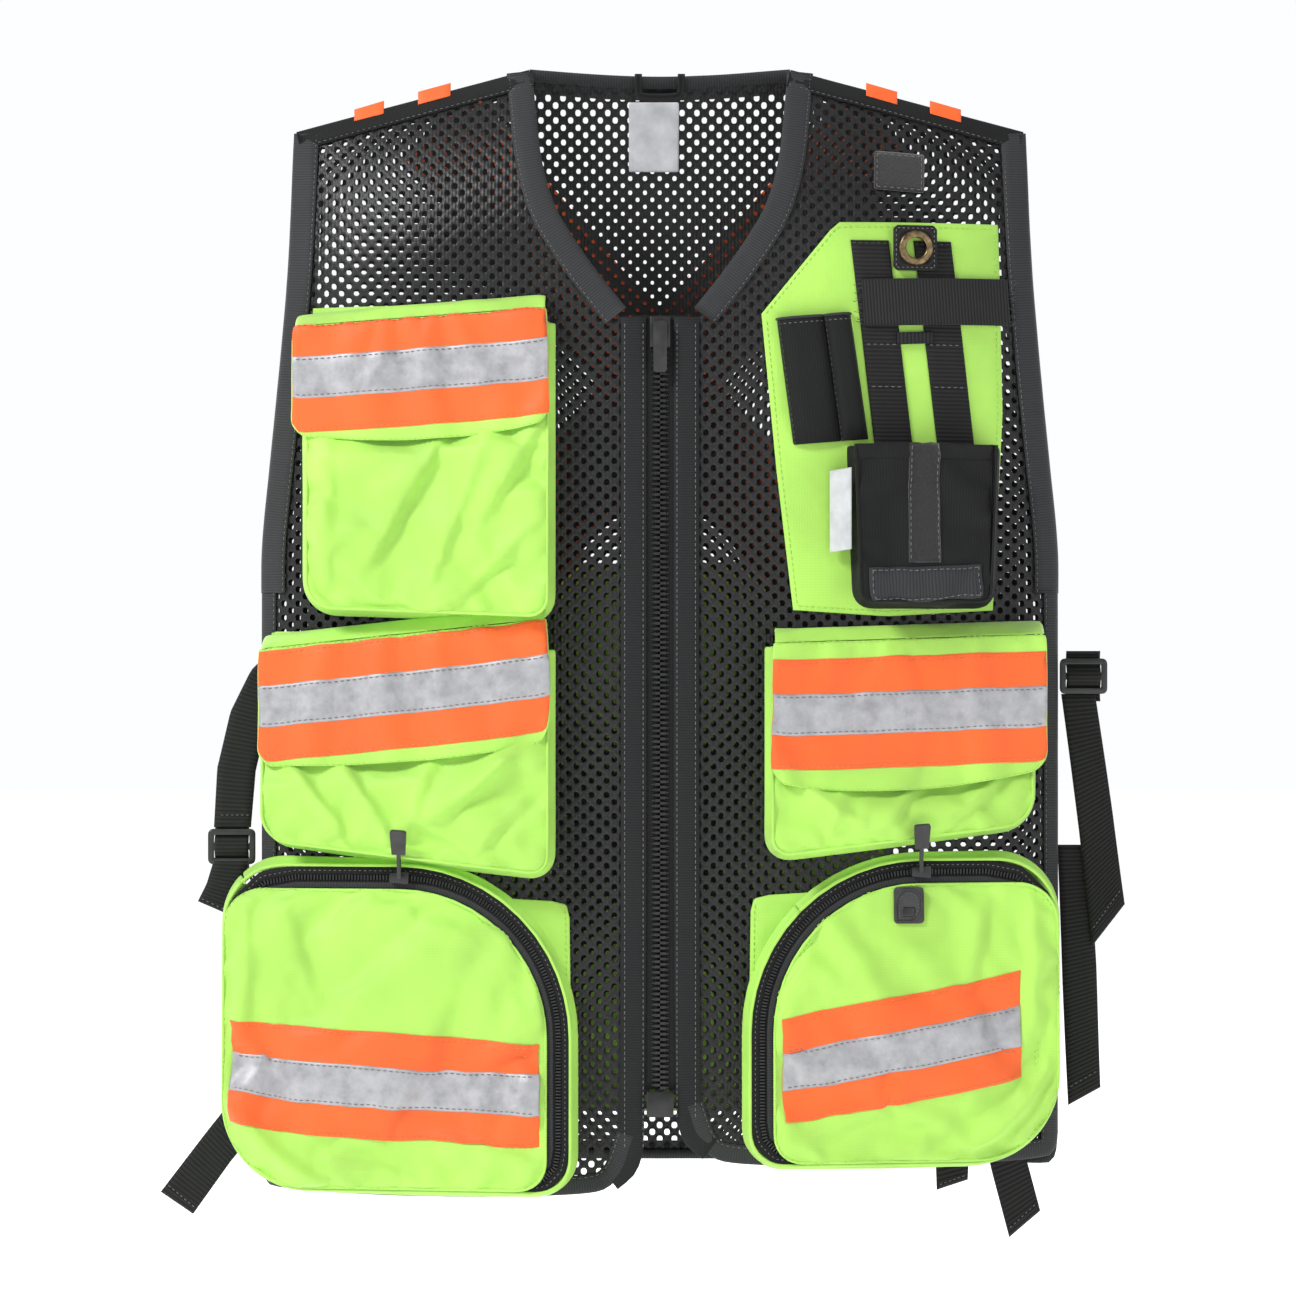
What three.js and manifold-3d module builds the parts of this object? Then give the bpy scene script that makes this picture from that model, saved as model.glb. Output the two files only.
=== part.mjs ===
// A high visibility utility vest, hanging upright, in millimetres. +Z is up, the front
// faces -Y and the wearer's left is +X. The origin is the hanging point, at the middle
// of the back neck. Left and right in the names are the wearer's.
import * as THREE from "three";
import { mergeVertices } from "three/addons/utils/BufferGeometryUtils.js";
import Module from "manifold-3d";

const wasm = await Module();
wasm.setup();

// Torso.
const HALF_WIDTH = 270;
const FRONT_DEPTH = 60;
const BACK_DEPTH = 50;
const SECTION_POWER = 4;
const SHOULDER_ROUND = 120;
const NECK_HALF = 88;
const NECK_Z = 2;
const TIP_HALF = HALF_WIDTH - 25;
const TIP_Z = -40;
const BACK_NECK_Z = -3;
const SIDE_INSET = 3;
const UNDERARM_Z = -350;
const HEM_RIGHT_Z = -748;
const HEM_LEFT_Z = -728;
const HEM_BACK_Z = -735;

// Layers, measured outwards from the torso surface.
const GAP = 0.3;
const MESH_THICK = 2;
const PANEL_THICK = 1.2;
const BINDING_WIDTH = 16;
const BINDING_THICK = 1.6;

// Front closure.
const TOOTH_ROW_WIDTH = 5;
const TOOTH_ROW_THICK = 5;
const ZIP_TAPE_WIDTH = 13;
const ZIP_TAPE_THICK = 1.2;
const PLACKET_WIDTH = 17;
const PLACKET_START = 9;
const ZIP_TOP_Z = -166;
const ZIP_BOTTOM_Z = -680;
const SLIDER_LENGTH = 20;
const SLIDER_PLATE = 2;
const PULL_LENGTH = 34;
const PULL_WIDTH = 9;
const PULL_THICK = 2;
const BOX_HEIGHT = 17;
const BOX_HALF = 9;

// Pockets. A pocket front is a plane that leans back towards the side seam.
const POCKET_INNER = 74;
const POCKET_PROUD = 18;
const POCKET_LEAN = 0.15;
const POCKET_FLARE = 0.06;
const POCKET_WALL = 1.6;
const FLAP_THICK = 2.4;
const TAPE_THICK = 1;
const TAPE_WIDTH = 65;
const COVER_THICK = 5;
const ZIP_BAND_WIDTH = 16;
const ZIP_BAND_THICK = 3;
const ZIP_ARC_RADIUS = 105;
const ZIP_ARC_X = 172;
const POCKET_SLIDER = 9;
const POCKET_SLIDER_LENGTH = 13;
const CORD_PULL_LENGTH = 36;

// Radio side.
const WEBBING_WIDTH = 25.4;
const WEBBING_THICK = 1.6;
const ELASTIC_THICK = 2;
const PLATE_THICK = 2.2;
const GROMMET_FLANGE = 12;
const GROMMET_BORE = 7;
const GROMMET_WALL = 1.2;
const PEN_DEPTH = 14;
const POUCH_PROUD = 31;
const POUCH_WALL = 2;

// Rear pouch and side straps.
const REAR_POUCH_DEPTH = 16;
const STRAP_THICK = 2;
const BUCKLE_WIDTH = 32;
const BUCKLE_HEIGHT = 24;
const BUCKLE_THICK = 4;
const BUCKLE_BAR = 4;

// The surface is sampled on this lattice, so that parallel layers never touch.
const LATTICE = 45;
const FAR = 400;

const LAYER_1 = MESH_THICK + GAP;
const LAYER_2 = LAYER_1 + PANEL_THICK + GAP;
const LAYER_3 = LAYER_2 + WEBBING_THICK + GAP;

const vest = new THREE.Group();
const finish = (color, roughness, metalness = 0) =>
  new THREE.MeshStandardMaterial({ color, roughness, metalness });
const YELLOW = 0xc4fc7a;
const ORANGE = 0xff823e;
const SILVER = 0xa0a0a5;
const BLACK = 0x1c1c1a;
const CHARCOAL = 0x2d2e30;
const BRASS = 0x6f5a36;

const clamp = THREE.MathUtils.clamp;
const lerp = THREE.MathUtils.lerp;

function shoulderZ(x) {
  const t = clamp((Math.abs(x) - NECK_HALF) / (TIP_HALF - NECK_HALF), 0, 1);
  return lerp(NECK_Z, TIP_Z, t);
}

// How full the torso is at (x, z): 0 on the shoulder line and side seams, 1 inside.
function fullness(x, z) {
  const across = Math.max(0, 1 - (Math.abs(x) / HALF_WIDTH) ** SECTION_POWER);
  const down = clamp((shoulderZ(x) - z) / SHOULDER_ROUND, 0, 1);
  return across * (1 - (1 - down) ** 2);
}

const onFront = (offset) => (x, z) => -FRONT_DEPTH * fullness(x, z) - offset;
const onBack = (offset) => (x, z) => BACK_DEPTH * fullness(x, z) + offset;
const flat = (y) => () => y;

// The pocket front, a plane that starts at topZ and is `depth` behind the cloth's face.
function pocketPlane(pocket, depth = 0) {
  return (x, z) => {
    const lean = POCKET_LEAN * (Math.abs(x) - POCKET_INNER);
    const flare = POCKET_FLARE * (pocket.topZ - z);
    return -(FRONT_DEPTH + POCKET_PROUD - lean + flare) + depth;
  };
}

// A closed solid between two surfaces y = front(x, z) and y = back(x, z).
function slab(box, front, back) {
  const columns = [];
  const rows = [];
  for (let i = Math.floor(box.minX / LATTICE); i <= Math.ceil(box.maxX / LATTICE); i++) {
    columns.push(i * LATTICE);
  }
  for (let k = Math.floor(box.minZ / LATTICE); k <= Math.ceil(box.maxZ / LATTICE); k++) {
    rows.push(k * LATTICE);
  }
  const wide = columns.length;
  const tall = rows.length;
  const layer = wide * tall;
  const points = [];
  for (const surface of [front, back]) {
    for (const z of rows) {
      for (const x of columns) {
        points.push(x, surface(x, z), z);
      }
    }
  }
  const at = (i, k) => k * wide + i;
  const faces = [];
  for (let k = 0; k < tall - 1; k++) {
    for (let i = 0; i < wide - 1; i++) {
      const [a, b, c, d] = [at(i, k), at(i + 1, k), at(i + 1, k + 1), at(i, k + 1)];
      faces.push(a, b, c, a, c, d);
      faces.push(layer + a, layer + c, layer + b, layer + a, layer + d, layer + c);
    }
  }
  const rim = [];
  for (let i = 0; i < wide - 1; i++) {
    rim.push([at(i, 0), at(i + 1, 0)]);
    rim.push([at(i + 1, tall - 1), at(i, tall - 1)]);
  }
  for (let k = 0; k < tall - 1; k++) {
    rim.push([at(wide - 1, k), at(wide - 1, k + 1)]);
    rim.push([at(0, k + 1), at(0, k)]);
  }
  for (const [p, q] of rim) {
    faces.push(p, layer + p, layer + q, p, layer + q, q);
  }
  return new wasm.Manifold(new wasm.Mesh({
    numProp: 3,
    vertProperties: new Float32Array(points),
    triVerts: new Uint32Array(faces),
  }));
}

function solidOf(geometry) {
  const bare = geometry.clone();
  bare.deleteAttribute("normal");
  bare.deleteAttribute("uv");
  const merged = mergeVertices(bare, 1e-4);
  return new wasm.Manifold(new wasm.Mesh({
    numProp: 3,
    vertProperties: new Float32Array(merged.attributes.position.array),
    triVerts: new Uint32Array(merged.index.array),
  }));
}

function geometryOf(solid) {
  const mesh = solid.getMesh();
  const geometry = new THREE.BufferGeometry();
  geometry.setAttribute("position", new THREE.BufferAttribute(mesh.vertProperties, 3));
  geometry.setIndex(new THREE.BufferAttribute(mesh.triVerts, 1));
  geometry.computeVertexNormals();
  return geometry;
}

// A closed outline from corners [x, z, radius].
function outline(corners, segments = 4) {
  const shape = new THREE.Shape();
  corners.forEach(([x, z, radius = 0], i) => {
    const corner = new THREE.Vector2(x, z);
    const before = new THREE.Vector2(...corners.at(i - 1));
    const after = new THREE.Vector2(...corners[(i + 1) % corners.length]);
    const start = before.sub(corner).normalize().multiplyScalar(radius).add(corner);
    const end = after.sub(corner).normalize().multiplyScalar(radius).add(corner);
    if (i === 0) {
      shape.moveTo(start.x, start.y);
    } else {
      shape.lineTo(start.x, start.y);
    }
    if (radius > 0) {
      shape.quadraticCurveTo(corner.x, corner.y, end.x, end.y);
    }
  });
  return new THREE.Shape(shape.getPoints(segments));
}

// The outline drawn through the whole depth.
function prism(shape) {
  const geometry = new THREE.ExtrudeGeometry(shape, { depth: 2 * FAR, bevelEnabled: false });
  geometry.rotateX(Math.PI / 2);
  geometry.translate(0, FAR, 0);
  return solidOf(geometry);
}

function boxOf(shape) {
  const points = shape.getPoints();
  const xs = points.map((point) => point.x);
  const zs = points.map((point) => point.y);
  return {
    minX: Math.min(...xs), maxX: Math.max(...xs),
    minZ: Math.min(...zs), maxZ: Math.max(...zs),
  };
}

const cloth = (shape, front, back) => slab(boxOf(shape), front, back).intersect(prism(shape));
const layerOn = (shape, offset, thick) => cloth(shape, onFront(offset + thick), onFront(offset));
const layerBehind = (shape, offset, thick) => cloth(shape, onBack(offset), onBack(offset + thick));

function add(name, solid, material) {
  const mesh = new THREE.Mesh(geometryOf(solid), material);
  mesh.name = name;
  vest.add(mesh);
  return mesh;
}

function addTurned(name, geometry, material, position, rotation = [0, 0, 0]) {
  const mesh = new THREE.Mesh(geometry, material);
  mesh.name = name;
  mesh.position.set(...position);
  mesh.rotation.set(...rotation);
  vest.add(mesh);
  return mesh;
}

const mirrored = (corners, side) => corners.map(([x, z, radius]) => [side * x, z, radius]);

// A strip of even width on one side of a line of points, for bindings.
function strip(points, width) {
  const inner = points.map(([x, z], i) => {
    const [px, pz] = points[Math.max(i - 1, 0)];
    const [nx, nz] = points[Math.min(i + 1, points.length - 1)];
    const length = Math.hypot(nx - px, nz - pz);
    return [x - (width * (nz - pz)) / length, z + (width * (nx - px)) / length];
  });
  return [...points, ...inner.reverse()];
}

const SIDES = [{ word: "right", sign: -1 }, { word: "left", sign: 1 }];
const SIDE_X = HALF_WIDTH - SIDE_INSET;
const ARMHOLE = [
  [TIP_HALF, TIP_Z], [TIP_HALF + 2, -125], [SIDE_X - 14, -190],
  [SIDE_X - 6, -265], [SIDE_X, -318], [SIDE_X, UNDERARM_Z],
];
const NECKLINE = [[24, -163], [52, -128], [79, -84], [NECK_HALF, NECK_Z]];
const PANEL_START = TOOTH_ROW_WIDTH + GAP + ZIP_TAPE_WIDTH + GAP;
const FABRIC = finish(CHARCOAL, 0.7);

// Torso panels.
for (const { word, sign } of SIDES) {
  const hem = word === "right" ? HEM_RIGHT_Z : HEM_LEFT_Z;
  const corners = [
    [PANEL_START, NECKLINE[0][1]], ...NECKLINE, ...ARMHOLE,
    [SIDE_X, hem, 12], [PANEL_START, hem, 34],
  ];
  add(`front_panel_${word}`, layerOn(outline(mirrored(corners, sign)), 0.5, MESH_THICK - 0.5), FABRIC);
}
const backEdge = [...ARMHOLE, [SIDE_X, HEM_BACK_Z, 12]];
const backCorners = [
  [NECK_HALF, NECK_Z], ...backEdge,
  ...mirrored(backEdge, -1).reverse(), [-NECK_HALF, NECK_Z], [0, BACK_NECK_Z],
];
add("back_panel", layerBehind(outline(backCorners), 0.5, MESH_THICK - 0.5), FABRIC);

// Bindings: a strip on the front and one on the back, joined past the fabric's edge.
const BINDING = finish(BLACK, 0.8);
const bindingOn = (shape) => layerOn(shape, LAYER_1, BINDING_THICK);
const bindingBehind = (shape) => layerBehind(shape, LAYER_1, BINDING_THICK);
const bridge = (corners) => {
  const middle = LAYER_1 + BINDING_THICK / 2;
  return cloth(outline(corners), onFront(middle), onBack(middle));
};
for (const { word, sign } of SIDES) {
  const edge = mirrored(ARMHOLE, 1).map(([x, z]) => [x + GAP + BINDING_THICK, z]);
  const band = outline(mirrored(strip([...edge].reverse(), BINDING_WIDTH), sign));
  const [tip, foot] = [edge[0], edge.at(-1)];
  const joinTop = mirrored([
    [tip[0] - BINDING_THICK, tip[1]], [tip[0], tip[1]],
    [tip[0], tip[1] - 8], [tip[0] - BINDING_THICK, tip[1] - 8],
  ], sign);
  const joinFoot = mirrored([
    [foot[0] - BINDING_THICK, foot[1] + 8], [foot[0], foot[1] + 8],
    [foot[0], foot[1]], [foot[0] - BINDING_THICK, foot[1]],
  ], sign);
  const ring = bindingOn(band).add(bindingBehind(band)).add(bridge(joinTop)).add(bridge(joinFoot));
  add(`armhole_binding_${word}`, ring, BINDING);
}
let neckRing = bindingBehind(outline([
  [-NECK_HALF, NECK_Z + 3], [-NECK_HALF, NECK_Z - 10], [0, BACK_NECK_Z - 12],
  [NECK_HALF, NECK_Z - 10], [NECK_HALF, NECK_Z + 3], [0, BACK_NECK_Z + GAP],
]));
for (const { sign } of SIDES) {
  const front = strip([...NECKLINE, [NECK_HALF, NECK_Z + 3]].reverse(), -BINDING_WIDTH);
  const over = [[NECK_HALF, NECK_Z + 1], [NECK_HALF, NECK_Z + 3],
    [NECK_HALF - 12, NECK_Z + 3], [NECK_HALF - 12, NECK_Z + 1]];
  neckRing = neckRing.add(bindingOn(outline(mirrored(front, sign))));
  neckRing = neckRing.add(bridge(mirrored(over, sign)));
}
add("neck_binding", neckRing, BINDING);

// Hanger loop, inside the back neck.
const LOOP_HALF = 17;
const LOOP_STRIP = 5;
const LOOP_STAND = 5.3;
const loopShape = outline([
  [-LOOP_HALF, 1, 3], [LOOP_HALF, 1, 3], [LOOP_HALF, -18, 3], [-LOOP_HALF, -18, 3],
]);
const loopHole = outline([
  [-LOOP_HALF + LOOP_STRIP, 1 - LOOP_STRIP], [LOOP_HALF - LOOP_STRIP, 1 - LOOP_STRIP],
  [LOOP_HALF - LOOP_STRIP, -18 + LOOP_STRIP], [-LOOP_HALF + LOOP_STRIP, -18 + LOOP_STRIP],
]);
const loop = cloth(loopShape, onBack(-LOOP_STAND - 1.5), onBack(-LOOP_STAND)).subtract(prism(loopHole));
add("hanger_loop", loop, BINDING);

// Front closure.
const rectangle = (x0, x1, z0, z1, radius = 0) =>
  outline([[x0, z0, radius], [x1, z0, radius], [x1, z1, radius], [x0, z1, radius]]);
const ROW_MID = 1;
for (const { word, sign } of SIDES) {
  const hem = word === "right" ? HEM_RIGHT_Z : HEM_LEFT_Z;
  const row = rectangle(sign * GAP / 2, sign * TOOTH_ROW_WIDTH, ZIP_TOP_Z, ZIP_BOTTOM_Z);
  const rowFront = ROW_MID + TOOTH_ROW_THICK / 2;
  add(`zipper_teeth_${word}`, layerOn(row, rowFront - TOOTH_ROW_THICK, TOOTH_ROW_THICK),
    finish(BLACK, 0.35));
  const tapeStart = TOOTH_ROW_WIDTH + GAP;
  const tape = rectangle(sign * tapeStart, sign * (tapeStart + ZIP_TAPE_WIDTH),
    ZIP_TOP_Z, ZIP_BOTTOM_Z);
  add(`zipper_tape_${word}`, layerOn(tape, MESH_THICK - ZIP_TAPE_THICK, ZIP_TAPE_THICK),
    finish(BLACK, 0.8));
  const placket = outline(mirrored([
    [PLACKET_START, ZIP_TOP_Z - 2], [PLACKET_START + PLACKET_WIDTH, ZIP_TOP_Z - 10],
    [PLACKET_START + PLACKET_WIDTH, hem + 12, 8], [PLACKET_START, hem + 30, 4],
  ], sign));
  add(`placket_${word}`, layerOn(placket, LAYER_1, PANEL_THICK), finish(CHARCOAL, 0.75));
}
const frontY = -FRONT_DEPTH;
const rowFace = frontY - ROW_MID - TOOTH_ROW_THICK / 2;
const skirtY = frontY - MESH_THICK - 1.3 * GAP;
const lip = 2.4;
const sliderHalf = TOOTH_ROW_WIDTH + 2 * GAP + 1.2;
const sliderProfile = outline([
  [-sliderHalf, rowFace - GAP - SLIDER_PLATE, 1], [sliderHalf, rowFace - GAP - SLIDER_PLATE, 1],
  [sliderHalf, skirtY], [TOOTH_ROW_WIDTH + GAP, skirtY],
  [TOOTH_ROW_WIDTH + GAP, rowFace - GAP], [-TOOTH_ROW_WIDTH - GAP, rowFace - GAP],
  [-TOOTH_ROW_WIDTH - GAP, skirtY], [-sliderHalf, skirtY],
]);
const sliderGeometry = new THREE.ExtrudeGeometry(sliderProfile,
  { depth: SLIDER_LENGTH, bevelEnabled: false });
sliderGeometry.translate(0, 0, ZIP_TOP_Z - SLIDER_LENGTH - 2);
const bail = new THREE.BoxGeometry(3, lip, 7);
bail.translate(0, rowFace - GAP - SLIDER_PLATE - lip / 2 + 0.1, ZIP_TOP_Z - 9.5);
add("zipper_slider", solidOf(sliderGeometry).add(solidOf(bail)), finish(BLACK, 0.4));
const pullShape = rectangle(-PULL_WIDTH / 2, PULL_WIDTH / 2, 0, -PULL_LENGTH, 2.5);
const pullGeometry = new THREE.ExtrudeGeometry(pullShape, { depth: PULL_THICK, bevelEnabled: false });
pullGeometry.rotateX(Math.PI / 2);
addTurned("zipper_pull", pullGeometry, finish(BLACK, 0.4),
  [0, rowFace - GAP - SLIDER_PLATE - lip - GAP, ZIP_TOP_Z - 5]);
const boxShape = rectangle(-BOX_HALF, BOX_HALF, ZIP_BOTTOM_Z - GAP, ZIP_BOTTOM_Z - BOX_HEIGHT, 2);
add("zipper_retaining_box", layerOn(boxShape, LAYER_1 + PANEL_THICK + GAP, 3), finish(BLACK, 0.35));

// Pockets with a flap: heights are at the outer and the inner edge.
const CHEST = {
  name: "chest", sign: -1, outer: HALF_WIDTH - 36, topZ: -172, bottomOuter: -360, bottomInner: -366,
  flapOuter: HALF_WIDTH - 27, flapTopOuter: -174, flapTopInner: -163, flapDrop: 74,
  flapSag: 6, tapeDrop: 1.5,
};
const MID_RIGHT = {
  name: "mid", sign: -1, outer: HALF_WIDTH - 6, topZ: -388, bottomOuter: -514, bottomInner: -536,
  flapOuter: HALF_WIDTH - 4, flapTopOuter: -388, flapTopInner: -368, flapDrop: 79,
  flapSag: 4, tapeDrop: 5,
};
const MID_LEFT = {
  name: "mid", sign: 1, outer: HALF_WIDTH - 23, topZ: -386, bottomOuter: -503, bottomInner: -524,
  flapOuter: HALF_WIDTH - 14, flapTopOuter: -378, flapTopInner: -384, flapDrop: 90,
  flapSag: 8, tapeDrop: 14,
};
for (const pocket of [CHEST, MID_RIGHT, MID_LEFT]) {
  const { name, sign, outer } = pocket;
  const word = sign < 0 ? "right" : "left";
  const face = pocketPlane(pocket);
  const body = outline(mirrored([
    [POCKET_INNER, pocket.topZ], [outer, pocket.topZ],
    [outer, pocket.bottomOuter, 18], [POCKET_INNER, pocket.bottomInner, 12],
  ], sign));
  const wall = POCKET_WALL;
  const hollow = outline(mirrored([
    [POCKET_INNER + wall, pocket.topZ + 10], [outer - wall, pocket.topZ + 10],
    [outer - wall, pocket.bottomOuter + wall, 16], [POCKET_INNER + wall, pocket.bottomInner + wall, 10],
  ], sign));
  const shell = cloth(body, face, onFront(LAYER_1));
  const space = cloth(hollow, pocketPlane(pocket, wall), onFront(LAYER_1 + wall));
  add(`${name}_pocket_${word}`, shell.subtract(space), finish(YELLOW, 0.8));

  const inner = POCKET_INNER + 1;
  const middle = (inner + pocket.flapOuter) / 2;
  const [topOuter, topInner] = [pocket.flapTopOuter, pocket.flapTopInner];
  const flap = outline(mirrored([
    [inner, topInner], [pocket.flapOuter, topOuter],
    [pocket.flapOuter, topOuter - pocket.flapDrop + 4, 12],
    [middle, (topInner + topOuter) / 2 - pocket.flapDrop - pocket.flapSag],
    [inner, topInner - pocket.flapDrop, 12],
  ], sign));
  const flapBack = pocketPlane(pocket, -GAP);
  const flapFront = pocketPlane(pocket, -GAP - FLAP_THICK);
  add(`${name}_flap_${word}`, cloth(flap, flapFront, flapBack), finish(YELLOW, 0.8));

  const start = pocket.tapeDrop;
  const reach = Math.min(TAPE_WIDTH, pocket.flapDrop - start - 3);
  const tape = outline(mirrored([
    [inner + 2, topInner - start], [pocket.flapOuter - 2, topOuter - start],
    [pocket.flapOuter - 2, topOuter - start - reach], [inner + 2, topInner - start - reach],
  ], sign));
  const tapeBack = pocketPlane(pocket, -2 * GAP - FLAP_THICK);
  const tapeFront = pocketPlane(pocket, -2 * GAP - FLAP_THICK - TAPE_THICK);
  add(`${name}_flap_tape_${word}`, cloth(tape, tapeFront, tapeBack), finish(SILVER, 0.5));
}

// Lower pockets: a gusseted back, and a cover inside a zipper that runs round the top.
const LOWER_RIGHT = {
  sign: -1, outer: HALF_WIDTH + 20, topZ: -531, bottomZ: -745,
  tapeZ: -640, tapeTilt: 14, tapeInner: 84, tapeOuter: HALF_WIDTH + 10,
};
const LOWER_LEFT = {
  sign: 1, outer: HALF_WIDTH - 6, topZ: -527, bottomZ: -727,
  tapeZ: -616, tapeTilt: 30, tapeInner: 86, tapeOuter: HALF_WIDTH - 37,
};
const LOWER_INNER = ZIP_ARC_X - ZIP_ARC_RADIUS - ZIP_BAND_WIDTH / 2;

// The lower pocket's outline, drawn in by `inset`, with the zipper's arc as one corner.
function lowerOutline(pocket, inset, outerInset = inset, bottomInset = inset) {
  const radius = ZIP_ARC_RADIUS + ZIP_BAND_WIDTH / 2 - inset;
  const centreZ = pocket.topZ - ZIP_ARC_RADIUS - ZIP_BAND_WIDTH / 2;
  const [left, right] = [LOWER_INNER + inset, pocket.outer - outerInset];
  const bottom = pocket.bottomZ + bottomInset;
  const shape = new THREE.Shape();
  shape.moveTo(left + 22, bottom);
  shape.quadraticCurveTo(left, bottom, left, bottom + 22);
  shape.lineTo(left, centreZ);
  shape.absarc(ZIP_ARC_X, centreZ, radius, Math.PI, Math.PI / 2, true);
  shape.lineTo(right - 40, centreZ + radius);
  shape.quadraticCurveTo(right, centreZ + radius, right, centreZ + radius - 40);
  shape.lineTo(right, bottom + 55);
  shape.quadraticCurveTo(right, bottom, right - 60, bottom);
  const points = shape.getPoints(8);
  return new THREE.Shape(points.map(({ x, y }) => new THREE.Vector2(pocket.sign * x, y)));
}

for (const pocket of [LOWER_RIGHT, LOWER_LEFT]) {
  const { sign } = pocket;
  const word = sign < 0 ? "right" : "left";
  const rim = COVER_THICK + GAP;
  const wall = POCKET_WALL + 1;
  const tray = cloth(lowerOutline(pocket, 0), pocketPlane(pocket, rim), onFront(LAYER_1));
  const hollow = cloth(lowerOutline(pocket, wall), pocketPlane(pocket, -FAR / 2),
    onFront(LAYER_1 + POCKET_WALL));
  add(`lower_pocket_${word}`, tray.subtract(hollow), finish(YELLOW, 0.8));

  const bandInner = ZIP_BAND_WIDTH;
  const cover = lowerOutline(pocket, bandInner + GAP, 0, 2);
  const coverFace = pocketPlane(pocket);
  add(`lower_cover_${word}`, cloth(cover, coverFace, pocketPlane(pocket, COVER_THICK)),
    finish(YELLOW, 0.8));

  const bandFront = pocketPlane(pocket, COVER_THICK - ZIP_BAND_THICK);
  const band = cloth(lowerOutline(pocket, 0.5), bandFront, pocketPlane(pocket, COVER_THICK))
    .subtract(prism(lowerOutline(pocket, bandInner - 0.2, -5, -5)));
  add(`lower_zip_${word}`, band, finish(BLACK, 0.7));

  const [inside, outside] = [pocket.tapeInner, pocket.tapeOuter];
  const tilt = pocket.tapeTilt / 2;
  const tape = outline(mirrored([
    [inside, pocket.tapeZ - tilt], [outside, pocket.tapeZ + tilt],
    [outside, pocket.tapeZ + tilt - TAPE_WIDTH], [inside, pocket.tapeZ - tilt - TAPE_WIDTH],
  ], sign));
  const tapeSolid = cloth(tape, pocketPlane(pocket, -GAP - TAPE_THICK), pocketPlane(pocket, -GAP))
    .intersect(prism(lowerOutline(pocket, bandInner + 1, 2, 3)));
  add(`lower_tape_${word}`, tapeSolid, finish(SILVER, 0.5));

  // The slider sits on the band at the top of the arc, turned to the pocket's face.
  const yaw = sign * Math.atan(POCKET_LEAN);
  const sliderZ = pocket.topZ - ZIP_BAND_WIDTH / 2;
  const bandY = bandFront(sign * ZIP_ARC_X, sliderZ);
  const slider = outline([
    [-POCKET_SLIDER_LENGTH / 2, -3, 1.5], [POCKET_SLIDER_LENGTH / 2, -4, 1.5],
    [POCKET_SLIDER_LENGTH / 2, 4, 1.5], [-POCKET_SLIDER_LENGTH / 2, 3, 1.5],
  ]);
  const sliderSolid = new THREE.ExtrudeGeometry(slider, { depth: POCKET_SLIDER / 2, bevelEnabled: false });
  sliderSolid.rotateX(Math.PI / 2);
  addTurned(`lower_slider_${word}`, sliderSolid, finish(BLACK, 0.4),
    [sign * ZIP_ARC_X, bandY - 2 * GAP, sliderZ], [0, 0, yaw]);

  const cordTab = outline([
    [-1.2, 0], [1.2, 0], [1.2, CORD_PULL_LENGTH / 2], [4.5, CORD_PULL_LENGTH / 2],
    [5.5, CORD_PULL_LENGTH, 2], [-5.5, CORD_PULL_LENGTH, 2], [-4.5, CORD_PULL_LENGTH / 2],
    [-1.2, CORD_PULL_LENGTH / 2],
  ]);
  const tabSolid = new THREE.ExtrudeGeometry(cordTab, { depth: 2.4, bevelEnabled: false });
  tabSolid.rotateX(Math.PI / 2);
  addTurned(`lower_pull_${word}`, tabSolid, finish(BLACK, 0.5),
    [sign * ZIP_ARC_X, bandY - 3 * GAP - POCKET_SLIDER / 2 - 0.4, sliderZ + 1], [0.5, 0, yaw]);
}

// A grip tab that hangs on the left cover.
const GRIP_WIDTH = 20;
const GRIP_LENGTH = 24;
const gripX = 164;
const gripTop = LOWER_LEFT.topZ - ZIP_BAND_WIDTH - 2;
const gripShape = rectangle(-GRIP_WIDTH / 2, GRIP_WIDTH / 2, 0, -GRIP_LENGTH, 3);
const gripGeometry = new THREE.ExtrudeGeometry(gripShape, { depth: PLATE_THICK, bevelEnabled: false });
gripGeometry.rotateX(Math.PI / 2 - POCKET_FLARE);
addTurned("lower_grip_left", gripGeometry, finish(BLACK, 0.5),
  [gripX, pocketPlane(LOWER_LEFT, -2 * GAP)(gripX + GRIP_WIDTH / 2, gripTop) - 1.2, gripTop],
  [0, 0, Math.atan(POCKET_LEAN)]);

// Radio side of the chest, on the wearer's left.
const radioPanel = outline([
  [67, -166], [117, -105, 10], [226, -104, 14], [229, -230],
  [222, -362, 24], [88, -364, 14], [77, -270],
]);
add("radio_panel", layerOn(radioPanel, LAYER_1, PANEL_THICK), finish(YELLOW, 0.8));
const WEBBING_TILT = 17;
const WEBBING_TOP_Z = -117;
const WEBBING_END_Z = -257;
const webbing = (x) => outline([
  [x, WEBBING_TOP_Z], [x + WEBBING_WIDTH, WEBBING_TOP_Z],
  [x + WEBBING_WIDTH + WEBBING_TILT, WEBBING_END_Z], [x + WEBBING_TILT, WEBBING_END_Z],
]);
add("webbing_inner", layerOn(webbing(126), LAYER_2, WEBBING_THICK), finish(BLACK, 0.8));
add("webbing_outer", layerOn(webbing(168), LAYER_2, WEBBING_THICK), finish(BLACK, 0.8));
const bandShape = outline([[133, -143], [232, -141], [234, -172], [135, -174]]);
add("elastic_band", layerOn(bandShape, LAYER_3, ELASTIC_THICK), finish(BLACK, 0.9));

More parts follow.
